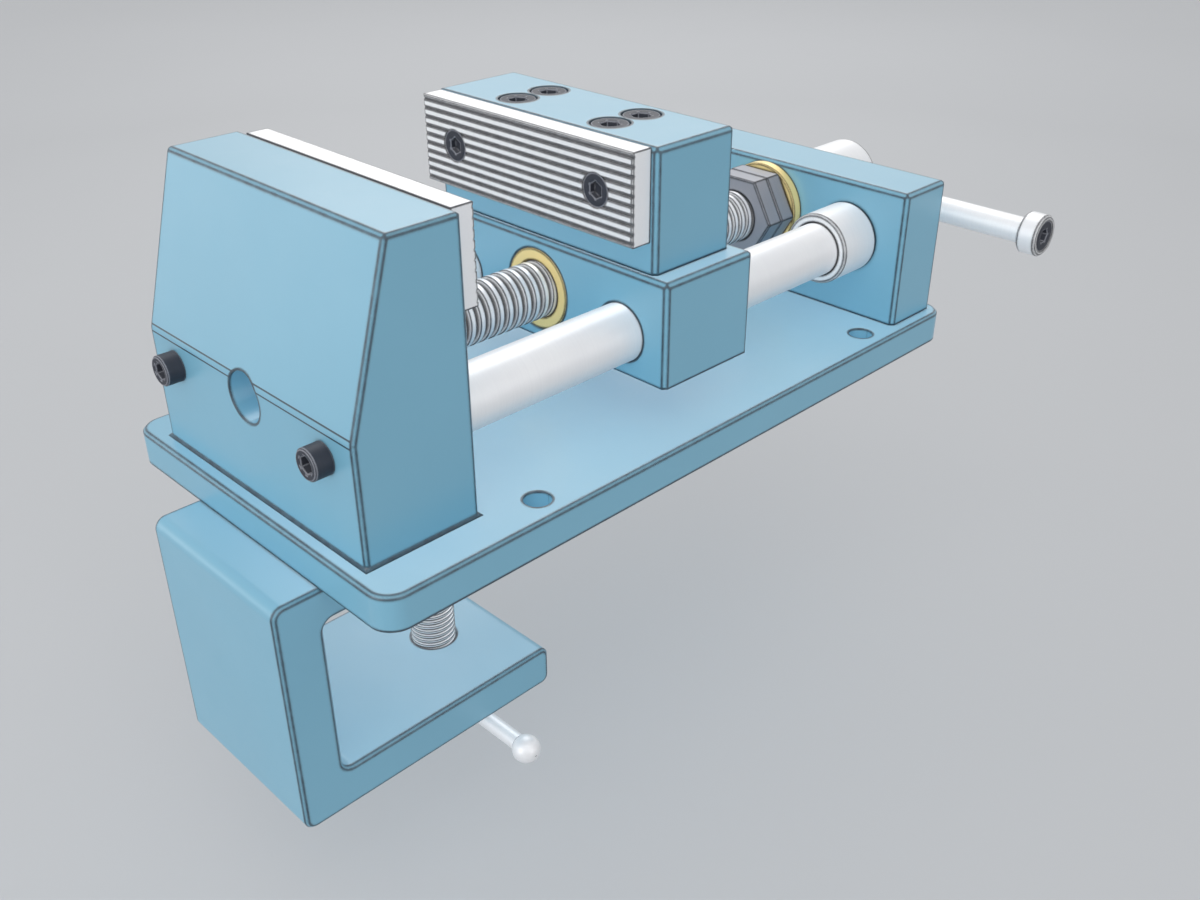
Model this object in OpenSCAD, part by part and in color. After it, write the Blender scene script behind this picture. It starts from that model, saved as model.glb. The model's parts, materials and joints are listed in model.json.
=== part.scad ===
// Portable bench vise: a base plate with a fixed jaw at the front, a carriage with the
// moving jaw on two guide rods, a lead screw with a sliding handle, and a clamp bracket
// that grips the edge of a bench.
// X runs along the vise towards the handle, Y across it and Z up. The origin is the centre
// of the four bolt holes, on the underside of the base plate. Lengths are in millimetres.

/* [Base plate] */
// Length of the base plate
plate_l = 276; // [260:1:360]
// Width of the base plate
plate_w = 140; // [136:1:200]
// Thickness of the base plate
plate_t = 12; // [10:0.5:20]
// Radius of the plate's upright corners
plate_corner_r = 8; // [3:0.5:10]
// Chamfer round the plate's top edge
plate_edge = 1; // [0.5:0.1:2]
// Diameter of the four bolt holes
hole_d = 9; // [6:0.5:11]
// Spacing of the bolt holes along the vise
hole_span_x = 168; // [160:1:176]
// Spacing of the bolt holes across the vise
hole_span_y = 120; // [116:1:122]
// Distance from the plate's front edge to the front bolt holes
hole_front = 64; // [58:1:70]

/* [Fixed jaw] */
// Distance from the plate's front edge to the jaw's foot
jaw_setback = 5.5; // [3:0.5:10]
// Thickness of the jaw at its foot
jaw_foot_t = 40.5; // [36:0.5:46]
// Thickness of the jaw at its top
jaw_top_t = 24.5; // [22:0.5:30]
// Height of the jaw above the plate
jaw_h = 93; // [86:1:110]
// Height above the plate at which the outer face starts to lean in
jaw_knee_h = 39.4; // [36:0.2:44]
// Radius that rounds the bend in the outer face
jaw_knee_r = 8; // [3:0.5:14]
// Width of the jaw
jaw_w = 109; // [104:1:118]
// Chamfer along the jaw's edges
jaw_edge = 1; // [0.5:0.1:2]
// Leg of the weld bead round the jaw's foot
weld_leg = 0.8; // [0.4:0.1:2]

/* [Jaw plates] */
// Thickness of a jaw plate
grip_t = 8; // [6:0.5:12]
// Width of a jaw plate
grip_w = 100; // [90:1:104]
// Height of a jaw plate
grip_h = 30; // [26:1:34]
// Chamfer round the gripping face
grip_edge = 0.5; // [0.2:0.1:0.8]
// Spacing of the grooves in the gripping face
groove_pitch = 3; // [2:0.1:4]
// Distance from the plate's edge to the outermost groove
groove_margin = 1.5; // [1.2:0.1:3]
// Width of a groove at its mouth
groove_w = 1; // [0.6:0.1:1.2]
// Width of a groove at its floor
groove_floor_w = 0.5; // [0.2:0.1:0.6]
// Depth of a groove
groove_depth = 0.7; // [0.3:0.1:1.5]
// Spacing of the two screws in a jaw plate
grip_screw_span = 68; // [60:1:76]
// Distance between the two gripping faces
jaw_open = 60.5; // [5:0.5:110]

/* [Guide rods] */
// Diameter of a guide rod
rod_d = 20; // [18:0.5:22]
// Spacing of the guide rods
rod_span = 80; // [76:1:84]
// Height of the rod axes above the plate
rod_h = 30.5; // [29:0.5:32]
// Depth to which a rod sits in the fixed jaw
rod_seat_front = 28; // [22:1:30]
// Depth to which a rod sits in the rear block
rod_seat_rear = 16; // [12:1:18]
// Diameter of the stop collar on a rod
collar_d = 27; // [25:0.5:28]
// Length of the stop collar
collar_l = 20; // [14:1:24]
// Chamfer on the collar's edges
collar_edge = 0.8; // [0.3:0.1:1.2]

/* [Carriage] */
// Length of the carriage block along the vise
carriage_l = 42; // [38:1:50]
// Width of the carriage block
carriage_w = 120; // [116:1:124]
// Gap between the plate and the underside of the carriage
carriage_gap = 16; // [10:0.5:17]
// Height of the carriage's top above the plate
carriage_top_h = 52.5; // [52:0.5:54]
// Distance by which the carriage stands ahead of the upper jaw
carriage_lead = 2.5; // [1:0.5:4]
// Length of the upper jaw block along the vise
upper_l = 36; // [34:1:40]
// Width of the upper jaw block
upper_w = 105; // [104:1:114]
// Chamfer along the edges of the carriage, the upper jaw and the rear block
block_edge = 1.4; // [0.6:0.1:1.8]
// Outside diameter of the lead nut
lead_nut_d = 29; // [27:0.5:31]
// Amount by which the lead nut stands out of the carriage's front
lead_nut_proud = 0.2; // [0.1:0.1:1]

/* [Lead screw] */
// Outside diameter of the lead screw's thread
screw_d = 20; // [19:0.5:22]
// Height of the screw axis above the plate
screw_h = 34; // [32:0.5:35]
// Diameter of the journal in the fixed jaw
front_journal_d = 16; // [12:0.5:16]
// Length of the journal in the fixed jaw, from the thread's shoulder
front_journal_l = 26; // [15:1:32]
// Gap between the thread's shoulder and the fixed jaw
shoulder_gap = 2; // [1:0.5:4]
// Diameter of the journal in the rear block
rear_journal_d = 15; // [13:0.5:15]
// Width across the flats of a jam nut
jam_nut_af = 31; // [28:0.5:32]
// Thickness of a jam nut
jam_nut_t = 7.75; // [6:0.25:9]
// Chamfer along the edges of a jam nut
jam_nut_edge = 0.5; // [0.3:0.1:1.2]
// Outside diameter of the thrust bush's flange
flange_d = 35; // [32:0.5:38]
// Thickness of the thrust bush's flange
flange_t = 4.5; // [3.5:0.5:8]
// Chamfer on the edges of the thrust bush's flange
flange_edge = 0.4; // [0.2:0.1:1]
// Outside diameter of the thrust bush's sleeve
sleeve_d = 22; // [20:0.5:24]

/* [Rear block] */
// Distance from the rear block to the plate's rear edge
rear_setback = 4; // [2:0.5:8]
// Thickness of the rear block along the vise
rear_t = 26; // [24:1:30]
// Width of the rear block
rear_w = 130; // [122:1:132]
// Height of the rear block above the plate
rear_h = 52.5; // [52:0.5:60]

/* [Handle] */
// Diameter of the hub on the screw's end
hub_d = 30; // [27:0.5:34]
// Length of the hub
hub_l = 30; // [28:1:36]
// Depth to which the screw sits in the hub
hub_seat = 12; // [10:0.5:13]
// Distance from the hub's front face to the handle bar's axis
bar_station = 18.2; // [18:0.2:20]
// Diameter of the handle bar
bar_d = 10; // [8:0.5:10]
// Length of the handle from end to end
handle_l = 198; // [150:1:240]
// Diameter of a handle cap
cap_d = 16; // [14:0.5:20]
// Length of a handle cap
cap_l = 8; // [7:0.5:12]
// Depth of the socket in a cap for the bar's end
cap_socket = 3; // [2:0.5:3.5]
// Chamfer on the edges of the hub and the caps
turned_edge = 0.8; // [0.3:0.1:1.2]

/* [Clamp bracket] */
// Width of the bracket
bracket_w = 68.5; // [62:0.5:90]
// Distance by which the bracket stands ahead of the plate
bracket_lead = 16; // [14:0.5:20]
// Length of the bracket's arms, measured from its outer face
bracket_reach = 102.8; // [98:0.2:130]
// Height of the bracket
bracket_h = 86; // [80:0.5:120]
// Thickness of the upright wall
bracket_wall = 15.6; // [12:0.2:16]
// Thickness of the upper arm
arm_top_t = 12; // [10:0.5:16]
// Thickness of the lower arm
arm_low_t = 15.4; // [12:0.2:20]
// Distance by which the bracket stands off the middle of the vise
bracket_offset = 3; // [-6:0.5:6]
// Radius of the bracket's outer corners
bracket_outer_r = 4; // [2:0.5:8]
// Radius of the corners at the free end of an arm
bracket_end_r = 3.5; // [1.5:0.5:4.5]
// Radius in the inner corners
bracket_inner_r = 4; // [2:0.5:8]
// Chamfer along the bracket's edges
bracket_edge = 1; // [0.5:0.1:1.5]

/* [Clamp screw] */
// Outside diameter of the clamp screw's thread
clamp_d = 16; // [14:0.5:18]
// Distance from the arm's end to the clamp screw's axis
clamp_inset = 24.8; // [20:0.2:30]
// Gap between the upper arm and the pad
bench_gap = 20; // [5:0.5:40]
// Diameter of the pad
pad_d = 28; // [24:0.5:34]
// Thickness of the pad
pad_t = 9; // [8:0.5:12]
// Diameter of the screw's nose in the pad
nose_d = 10; // [8:0.5:11]
// Length of the screw's nose
nose_l = 6; // [5.5:0.1:6.5]
// Distance from the lower arm's underside to the bar's axis
tee_drop = 7; // [7:0.5:14]
// Distance from the bar's axis to the screw's lower end
tee_tail = 8; // [6:0.5:12]
// Diameter of the clamp bar
tee_d = 6; // [5:0.5:7]
// Distance from the screw's axis to the centre of a ball end
tee_reach = 49; // [40:1:60]
// Diameter of a ball end
ball_d = 10; // [9:0.5:12]

/* [Fasteners] */
// Diameter of a rod bolt's shank
rod_bolt_d = 6; // [5:0.5:8]
// Length of a rod bolt under its head
rod_bolt_l = 25; // [20:1:30]
// Diameter of a rod bolt's head
rod_bolt_head_d = 10; // [9:0.5:13]
// Height of a rod bolt's head
rod_bolt_head_h = 6; // [5:0.5:8]
// Width across the flats of a rod bolt's hexagon socket
rod_bolt_key = 5; // [3:0.5:5]
// Diameter of a jaw plate screw's shank
grip_screw_d = 6; // [5:0.5:6.5]
// Diameter of a jaw plate screw's head
grip_screw_head_d = 11; // [10:0.5:12]
// Length of a jaw plate screw
grip_screw_l = 20; // [16:1:22]
// Width across the flats of a jaw plate screw's hexagon socket
grip_screw_key = 5; // [3:0.5:5]
// Diameter of an upper jaw screw's shank
upper_bolt_d = 8; // [6:0.5:8]
// Length of an upper jaw screw under its head
upper_bolt_l = 50; // [46:1:54]
// Diameter of an upper jaw screw's head
upper_bolt_head_d = 13; // [12:0.5:13]
// Height of an upper jaw screw's head
upper_bolt_head_h = 8; // [6:0.5:9]
// Width across the flats of an upper jaw screw's hexagon socket
upper_bolt_key = 6; // [4:0.5:6.5]
// Spacing of the upper jaw screws along the vise
upper_bolt_pitch = 14.4; // [14.2:0.1:16]
// Spacing of the upper jaw screw pairs across the vise
upper_bolt_span = 44; // [42:1:46]
// Diameter of the shank of a screw driven from below
foot_screw_d = 8; // [6:0.5:10]
// Diameter of the head of a screw driven from below
foot_screw_head_d = 16; // [14:0.5:18]
// Width across the flats of the hexagon socket of a screw driven from below
foot_screw_key = 5; // [4:0.5:5.5]
// Length of a screw that holds the rear block
rear_screw_l = 24; // [20:1:28]
// Length of a screw that holds the bracket
bracket_screw_l = 21; // [18:1:22]
// Diameter of a cap screw's shank
cap_screw_d = 6; // [4:0.5:6]
// Diameter of a cap screw's head
cap_screw_head_d = 12; // [10:0.5:13]
// Width across the flats of a cap screw's hexagon socket
cap_screw_key = 5; // [3:0.5:5]
// Length of a cap screw
cap_screw_l = 16; // [12:1:20]
// Diameter of the spring pin through the hub
pin_d = 4; // [3:0.5:5]

/* [Hidden] */
$fn = 72;

// Colours of the finishes
paint = [0.60, 0.74, 0.82];
steel = [0.88, 0.88, 0.90];
dark_steel = [0.27, 0.28, 0.31];
nut_steel = [0.48, 0.49, 0.53];
brass = [0.88, 0.78, 0.50];

// Clearances and the overrun of cuts
run_play = 0.08;
seat_play = 0.02;
screw_play = 0.3;
end_play = 0.3;
sunk = 0.2;
over = 1;
tap_spare = 2;

// Sizes of details that only one piece uses
socket_depth_share = 0.5;
flush_depth_share = 0.9;
rod_end_edge = 1;
front_journal_edge = 1;
hub_pin_station = 6.5;
hub_pin_short = 0.5;
pin_wall = 0.8;
pin_slit = 0.8;
rear_screw_share = [-0.75, -0.25, 0.25, 0.75];
foot_screw_row = 64;
bracket_screw_span_x = 50;
bracket_screw_span_y = 40;
bracket_screw_first = 34;
ring_t = 1;
ring_out_d = 12.2;
ring_in_d = 8.8;
ring_groove_d = 8.4;
ring_room = 0.2;
ring_station = 2.6;
ring_gap = 2;
pad_edge = 1;
clamp_end_edge = 1;
knee_steps = 6;

// Places along the vise
plate_x0 = -hole_span_x / 2 - hole_front;
plate_x1 = plate_x0 + plate_l;
jaw_out_x = plate_x0 + jaw_setback;
jaw_in_x = jaw_out_x + jaw_foot_t;
jaw_top_x = jaw_in_x - jaw_top_t;
grip_fixed_x = jaw_in_x + grip_t;
grip_moving_x = grip_fixed_x + jaw_open;
upper_x0 = grip_moving_x + grip_t;
upper_x1 = upper_x0 + upper_l;
carriage_x0 = upper_x0 - carriage_lead;
carriage_x1 = carriage_x0 + carriage_l;
rear_x1 = plate_x1 - rear_setback;
rear_x0 = rear_x1 - rear_t;
flange_x0 = rear_x0 - flange_t;
jam_x1 = flange_x0 - end_play;
jam_x0 = jam_x1 - 2 * jam_nut_t;
thread_x0 = jaw_in_x + shoulder_gap;
journal_x0 = thread_x0 - front_journal_l;
hub_x0 = rear_x1 + end_play;
screw_x1 = hub_x0 + hub_seat;
bar_x = hub_x0 + bar_station;
pin_x = hub_x0 + hub_pin_station;
rod_x0 = jaw_in_x - rod_seat_front;
rod_x1 = rear_x0 + rod_seat_rear;

// Places above the plate's underside
rod_z = plate_t + rod_h;
screw_z = plate_t + screw_h;
knee_z = plate_t + jaw_knee_h;
jaw_top_z = plate_t + jaw_h;
carriage_z0 = plate_t + carriage_gap;
carriage_z1 = plate_t + carriage_top_h;
rear_top_z = plate_t + rear_h;
grip_screw_z = jaw_top_z - grip_h / 2;
jaw_lean = atan((jaw_top_x - jaw_out_x) / (jaw_top_z - knee_z));

// Places on the bracket and the clamp screw
bracket_x0 = plate_x0 - bracket_lead;
bracket_x1 = bracket_x0 + bracket_reach;
bracket_in_x = bracket_x0 + bracket_wall;
bracket_z0 = -bracket_h;
bracket_y = -bracket_offset;
arm_low_z1 = bracket_z0 + arm_low_t;
clamp_x = bracket_x1 - clamp_inset;
pad_z1 = -arm_top_t - bench_gap;
pad_z0 = pad_z1 - pad_t;
nose_z1 = pad_z0 + nose_l - end_play;
tee_z = bracket_z0 - tee_drop;
clamp_z0 = tee_z - tee_tail;
ring_z = pad_z0 + ring_station;
bracket_screw_x = [for (i = [0, 1]) bracket_x0 + bracket_screw_first + i * bracket_screw_span_x];
bracket_screw_y = [for (i = [-1, 1]) bracket_y + i * bracket_screw_span_y / 2];

// Places of the handle
cap_y0 = handle_l / 2 - cap_l;
bar_end_y = cap_y0 + cap_socket;

// Places of the grouped fasteners
upper_bolt_x = [for (i = [-1, 1]) (upper_x0 + upper_x1) / 2 + i * upper_bolt_pitch / 2];
upper_seat_z = jaw_top_z - upper_bolt_head_h - sunk;
upper_cbore_d = upper_bolt_head_d + 2 * screw_play;
rear_screw_y = [for (s = rear_screw_share) s * foot_screw_row];
rear_mid_x = (rear_x0 + rear_x1) / 2;

// Outline of a rectangle with chamfered corners, low ones by lo and high ones by hi
function cut_rect(a0, a1, b0, b1, lo, hi) = concat(
    lo > 0 ? [[a0, b0 + lo], [a0 + lo, b0], [a1 - lo, b0], [a1, b0 + lo]] : [[a0, b0], [a1, b0]],
    hi > 0 ? [[a1, b1 - hi], [a1 - hi, b1], [a0 + hi, b1], [a0, b1 - hi]] : [[a1, b1], [a0, b1]]);

// Points of an arc round a centre, from one angle to another
function arc(a, b, r, from, to, n) = [for (i = [0:n])
    let (t = from + (to - from) * i / n) [a + r * cos(t), b + r * sin(t)]];

// Carries an outline in Y and Z along X
module along_x(span) {
    rotate([90, 0, 90]) linear_extrude(height = span) children();
}

// Carries an outline in X and Z across Y, centred
module along_y(span) {
    rotate([90, 0, 0]) linear_extrude(height = span, center = true) children();
}

// Turns an outline, given as radius and distance, about an axis along X
module turned_x(x, y, z) {
    translate([x, y, z]) rotate([0, 90, 0]) rotate_extrude() children();
}

// Turns an outline, given as radius and distance, about an axis along Y
module turned_y(x, y, z) {
    translate([x, y, z]) rotate([-90, 0, 0]) rotate_extrude() children();
}

// Round bar or bore along X, across Y or upright
module round_x(x0, x1, y, z, d) {
    translate([x0, y, z]) rotate([0, 90, 0]) cylinder(h = x1 - x0, d = d);
}

module round_y(y0, y1, x, z, d) {
    translate([x, y0, z]) rotate([-90, 0, 0]) cylinder(h = y1 - y0, d = d);
}

module round_z(z0, z1, x, y, d) {
    translate([x, y, z0]) cylinder(h = z1 - z0, d = d);
}

// Copies the children to both sides of the vise
module both_sides() {
    children();
    mirror([0, 1, 0]) children();
}

// Block with chamfered upright edges and top edges
module edged_block(x0, x1, w, z0, z1, edge) {
    intersection() {
        along_y(w) polygon(cut_rect(x0, x1, z0, z1, 0, edge));
        translate([x0, 0, 0]) along_x(x1 - x0) polygon(cut_rect(-w / 2, w / 2, z0, z1, 0, edge));
        translate([0, 0, z0]) linear_extrude(height = z1 - z0)
            polygon(cut_rect(x0, x1, -w / 2, w / 2, edge, edge));
    }
}

// Bush outline with chamfered outer edges, from zero to its length
function bush_outline(r, span, edge) =
    [[0, 0], [r - edge, 0], [r, edge], [r, span - edge], [r - edge, span], [0, span]];

// Socket head screw along Z, with its head above zero
module socket_screw(d, span, head_d, head_h, key) {
    difference() {
        union() {
            cylinder(h = head_h, d = head_d);
            translate([0, 0, -span]) cylinder(h = span, d = d);
        }
        translate([0, 0, head_h * (1 - socket_depth_share)])
            cylinder(h = head_h, d = key / cos(30), $fn = 6);
    }
}

// Countersunk screw along Z, with the top of its head at zero
module flush_screw(d, span, head_d, key) {
    cone_h = (head_d - d) / 2;
    difference() {
        union() {
            translate([0, 0, -cone_h]) cylinder(h = cone_h, d1 = d, d2 = head_d);
            translate([0, 0, -span]) cylinder(h = span - cone_h, d = d);
        }
        translate([0, 0, -cone_h * flush_depth_share]) cylinder(h = cone_h, d = key / cos(30), $fn = 6);
    }
}

// Clearance hole with its countersink, along Z, with the head's side at zero
module flush_hole(d, depth, head_d) {
    cone_h = (head_d - d) / 2;
    translate([0, 0, -depth - over]) cylinder(h = depth + over, d = d + 2 * screw_play);
    translate([0, 0, -cone_h - sunk]) cylinder(h = cone_h, d1 = d, d2 = head_d);
    translate([0, 0, -sunk]) cylinder(h = sunk + over, d = head_d);
}

// Base plate

module plate_corner() {
    rotate_extrude() polygon([[0, 0], [plate_corner_r, 0], [plate_corner_r, plate_t - plate_edge],
        [plate_corner_r - plate_edge, plate_t], [0, plate_t]]);
}

module plate_slab() {
    x0 = plate_x0 + plate_corner_r;
    x1 = plate_x1 - plate_corner_r;
    y1 = plate_w / 2 - plate_corner_r;
    for (x = [x0, x1], y = [-y1, y1]) translate([x, y, 0]) plate_corner();
    along_y(2 * y1) polygon(cut_rect(plate_x0, plate_x1, 0, plate_t, 0, plate_edge));
    translate([x0, 0, 0]) along_x(x1 - x0)
        polygon(cut_rect(-plate_w / 2, plate_w / 2, 0, plate_t, 0, plate_edge));
}

module base_plate() {
    color(paint) difference() {
        plate_slab();
        for (x = [-hole_span_x, hole_span_x] / 2, y = [-hole_span_y, hole_span_y] / 2)
            round_z(-over, plate_t + over, x, y, hole_d);
        for (y = rear_screw_y)
            translate([rear_mid_x, y, 0]) mirror([0, 0, 1])
                flush_hole(foot_screw_d, plate_t, foot_screw_head_d);
        for (x = bracket_screw_x, y = bracket_screw_y)
            round_z(-over, bracket_screw_l - arm_top_t + sunk, x, y, foot_screw_d + 2 * seat_play);
    }
}

// Fixed jaw with its leaning outer face

module jaw_side_outline() {
    lean = [sin(jaw_lean), cos(jaw_lean)];
    round_z0 = knee_z - jaw_knee_r * tan(jaw_lean / 2);
    polygon(concat(
        [[jaw_out_x, plate_t]],
        arc(jaw_out_x + jaw_knee_r, round_z0, jaw_knee_r, 180, 180 - jaw_lean, knee_steps),
        [[jaw_top_x, jaw_top_z] - jaw_edge * lean, [jaw_top_x + jaw_edge, jaw_top_z],
         [jaw_in_x - jaw_edge, jaw_top_z], [jaw_in_x, jaw_top_z - jaw_edge], [jaw_in_x, plate_t]]));
}

// Slab that chamfers the side edges of the leaning face
module lean_envelope() {
    reach = jaw_foot_t + jaw_h;
    y1 = jaw_w / 2;
    translate([jaw_out_x, 0, knee_z]) rotate([0, jaw_lean, 0])
        translate([0, 0, -reach]) linear_extrude(height = 2 * reach)
            polygon([[0, jaw_edge - y1], [jaw_edge, -y1], [reach, -y1],
                [reach, y1], [jaw_edge, y1], [0, y1 - jaw_edge]]);
}

module weld_bead() {
    z1 = plate_t + weld_leg;
    y1 = jaw_w / 2;
    intersection() {
        along_y(jaw_w + 2 * weld_leg) polygon([[jaw_out_x - weld_leg, plate_t],
            [jaw_in_x + weld_leg, plate_t], [jaw_in_x, z1], [jaw_out_x, z1]]);
        translate([jaw_out_x - weld_leg, 0, 0]) along_x(jaw_foot_t + 2 * weld_leg)
            polygon([[-y1 - weld_leg, plate_t], [y1 + weld_leg, plate_t], [y1, z1], [-y1, z1]]);
    }
}

module fixed_jaw() {
    color(paint) difference() {
        union() {
            intersection() {
                along_y(jaw_w) jaw_side_outline();
                translate([jaw_out_x, 0, 0]) along_x(jaw_foot_t)
                    polygon(cut_rect(-jaw_w / 2, jaw_w / 2, plate_t, jaw_top_z, 0, jaw_edge));
                translate([0, 0, plate_t]) linear_extrude(height = jaw_h)
                    polygon(cut_rect(jaw_out_x, jaw_in_x, -jaw_w / 2, jaw_w / 2, jaw_edge, jaw_edge));
                lean_envelope();
            }
            weld_bead();
        }
        round_x(jaw_out_x - over, jaw_in_x + over, 0, screw_z, front_journal_d + 2 * run_play);
        for (y = [-rod_span, rod_span] / 2) {
            round_x(rod_x0, jaw_in_x + over, y, rod_z, rod_d + 2 * seat_play);
            round_x(jaw_out_x - over, rod_x0 + over, y, rod_z, rod_bolt_d + 2 * screw_play);
        }
        for (y = [-grip_screw_span, grip_screw_span] / 2)
            round_x(grip_fixed_x - sunk - grip_screw_l - tap_spare, jaw_in_x + over, y, grip_screw_z,
                grip_screw_d + 2 * seat_play);
    }
}

// Jaw plates, with the back at zero and the grooved gripping face at their thickness

groove_count = floor((grip_h - 2 * groove_margin) / groove_pitch + 0.5) + 1;
groove_first = (grip_h - (groove_count - 1) * groove_pitch) / 2;
groove_z = [for (i = [0:groove_count - 1]) jaw_top_z - grip_h + groove_first + i * groove_pitch];

module grip_side_outline() {
    z0 = jaw_top_z - grip_h;
    polygon(concat(
        [[0, z0], [grip_t - grip_edge, z0], [grip_t, z0 + grip_edge]],
        [for (z = groove_z, p = [[0, -groove_w], [groove_depth, -groove_floor_w],
                [groove_depth, groove_floor_w], [0, groove_w]]) [grip_t - p[0], z + p[1] / 2]],
        [[grip_t, jaw_top_z - grip_edge], [grip_t - grip_edge, jaw_top_z], [0, jaw_top_z]]));
}

module grip_plate() {
    y1 = grip_w / 2;
    difference() {
        intersection() {
            along_y(grip_w) grip_side_outline();
            translate([0, 0, jaw_top_z - grip_h]) linear_extrude(height = grip_h)
                polygon([[0, -y1], [grip_t - grip_edge, -y1], [grip_t, grip_edge - y1],
                    [grip_t, y1 - grip_edge], [grip_t - grip_edge, y1], [0, y1]]);
        }
        for (y = [-grip_screw_span, grip_screw_span] / 2)
            translate([grip_t, y, grip_screw_z]) rotate([0, 90, 0])
                flush_hole(grip_screw_d, grip_t, grip_screw_head_d);
    }
}

module grip_screws() {
    for (y = [-grip_screw_span, grip_screw_span] / 2)
        translate([grip_t - sunk, y, grip_screw_z]) rotate([0, 90, 0])
            flush_screw(grip_screw_d, grip_screw_l, grip_screw_head_d, grip_screw_key);
}

module on_fixed_jaw() {
    translate([jaw_in_x, 0, 0]) children();
}

module on_upper_jaw() {
    translate([upper_x0, 0, 0]) mirror([1, 0, 0]) children();
}

module fixed_jaw_plate() {
    color(steel) on_fixed_jaw() grip_plate();
}

module fixed_plate_screws() {
    color(dark_steel) on_fixed_jaw() grip_screws();
}

module moving_jaw_plate() {
    color(steel) on_upper_jaw() grip_plate();
}

module moving_plate_screws() {
    color(dark_steel) on_upper_jaw() grip_screws();
}

// Guide rods with their collars and bolts

module guide_rod(side) {
    tap_l = rod_bolt_l - (rod_x0 - jaw_out_x) + tap_spare;
    rear_tap_l = rod_bolt_l - (rear_x1 - rod_x1) + tap_spare;
    y = side * rod_span / 2;
    color(steel) difference() {
        turned_x(rod_x0, y, rod_z) polygon(bush_outline(rod_d / 2, rod_x1 - rod_x0, rod_end_edge));
        round_x(rod_x0 - over, rod_x0 + tap_l, y, rod_z, rod_bolt_d + 2 * seat_play);
        round_x(rod_x1 - rear_tap_l, rod_x1 + over, y, rod_z, rod_bolt_d + 2 * seat_play);
    }
}

module guide_rod_left() {
    guide_rod(-1);
}

module guide_rod_right() {
    guide_rod(1);
}

module rod_collar(side) {
    y = side * rod_span / 2;
    bore_r = rod_d / 2 + seat_play;
    r = collar_d / 2;
    color(steel) turned_x(rear_x0 - collar_l, y, rod_z) polygon([
        [bore_r + collar_edge, 0], [r - collar_edge, 0], [r, collar_edge], [r, collar_l],
        [bore_r, collar_l], [bore_r, collar_edge]]);
}

module rod_collar_left() {
    rod_collar(-1);
}

module rod_collar_right() {
    rod_collar(1);
}

module rod_bolts_front() {
    color(dark_steel) both_sides() translate([jaw_out_x, rod_span / 2, rod_z]) rotate([0, -90, 0])
        socket_screw(rod_bolt_d, rod_bolt_l, rod_bolt_head_d, rod_bolt_head_h, rod_bolt_key);
}

module rod_bolts_rear() {
    color(dark_steel) both_sides() translate([rear_x1, rod_span / 2, rod_z]) rotate([0, 90, 0])
        socket_screw(rod_bolt_d, rod_bolt_l, rod_bolt_head_d, rod_bolt_head_h, rod_bolt_key);
}

// Rear block and the bush that takes the screw's thrust

module rear_block() {
    color(paint) difference() {
        edged_block(rear_x0, rear_x1, rear_w, plate_t, rear_top_z, block_edge);
        round_x(rear_x0 - over, rear_x1 + over, 0, screw_z, sleeve_d + 2 * seat_play);
        for (y = [-rod_span, rod_span] / 2) {
            round_x(rear_x0 - over, rod_x1, y, rod_z, rod_d + 2 * seat_play);
            round_x(rod_x1 - over, rear_x1 + over, y, rod_z, rod_bolt_d + 2 * screw_play);
        }
        for (y = rear_screw_y)
            round_z(plate_t - over, rear_screw_l + sunk, rear_mid_x, y, foot_screw_d + 2 * seat_play);
    }
}

module rear_block_screws() {
    color(dark_steel) for (y = rear_screw_y)
        translate([rear_mid_x, y, sunk]) mirror([0, 0, 1])
            flush_screw(foot_screw_d, rear_screw_l, foot_screw_head_d, foot_screw_key);
}

module thrust_bush() {
    bore_r = rear_journal_d / 2 + run_play;
    r = flange_d / 2;
    color(brass) turned_x(flange_x0, 0, screw_z) polygon([
        [bore_r, 0], [r - flange_edge, 0], [r, flange_edge], [r, flange_t],
        [sleeve_d / 2, flange_t], [sleeve_d / 2, flange_t + rear_t], [bore_r, flange_t + rear_t]]);
}

// Clamp bracket: two arms and a wall with rounded outer corners and filled inner ones

// Turned bar across the bracket, whose ends widen by grow
module cross_bar(x, z, r, grow) {
    half = bracket_w / 2;
    turned_y(x, bracket_y, z) polygon([[0, -half], [r + grow, -half], [r, bracket_edge - half],
        [r, half - bracket_edge], [r + grow, half], [0, half]]);
}

// Fillet in an inner corner, on the side given by up
module inner_corner(z, r, up) {
    x0 = bracket_in_x - bracket_edge;
    z0 = up > 0 ? z - bracket_edge : z - r;
    difference() {
        translate([x0, bracket_y - bracket_w / 2, z0])
            cube([r + bracket_edge, bracket_w, r + bracket_edge]);
        cross_bar(bracket_in_x + r, z + up * r, r, bracket_edge);
    }
}

// Arm with chamfered long edges and a rounded free end
module bracket_arm(z0, z1) {
    x0 = bracket_x0 + bracket_outer_r;
    x1 = bracket_x1 - bracket_end_r;
    half = bracket_w / 2;
    translate([x0, bracket_y, 0]) along_x(x1 - x0)
        polygon(cut_rect(-half, half, z0, z1, bracket_edge, bracket_edge));
    translate([0, bracket_y, z0 + bracket_end_r]) linear_extrude(height = z1 - z0 - 2 * bracket_end_r)
        polygon([[x0, -half], [bracket_x1 - bracket_edge, -half], [bracket_x1, bracket_edge - half],
            [bracket_x1, half - bracket_edge], [bracket_x1 - bracket_edge, half], [x0, half]]);
    for (z = [z0 + bracket_end_r, z1 - bracket_end_r]) cross_bar(x1, z, bracket_end_r, -bracket_edge);
}

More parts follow.
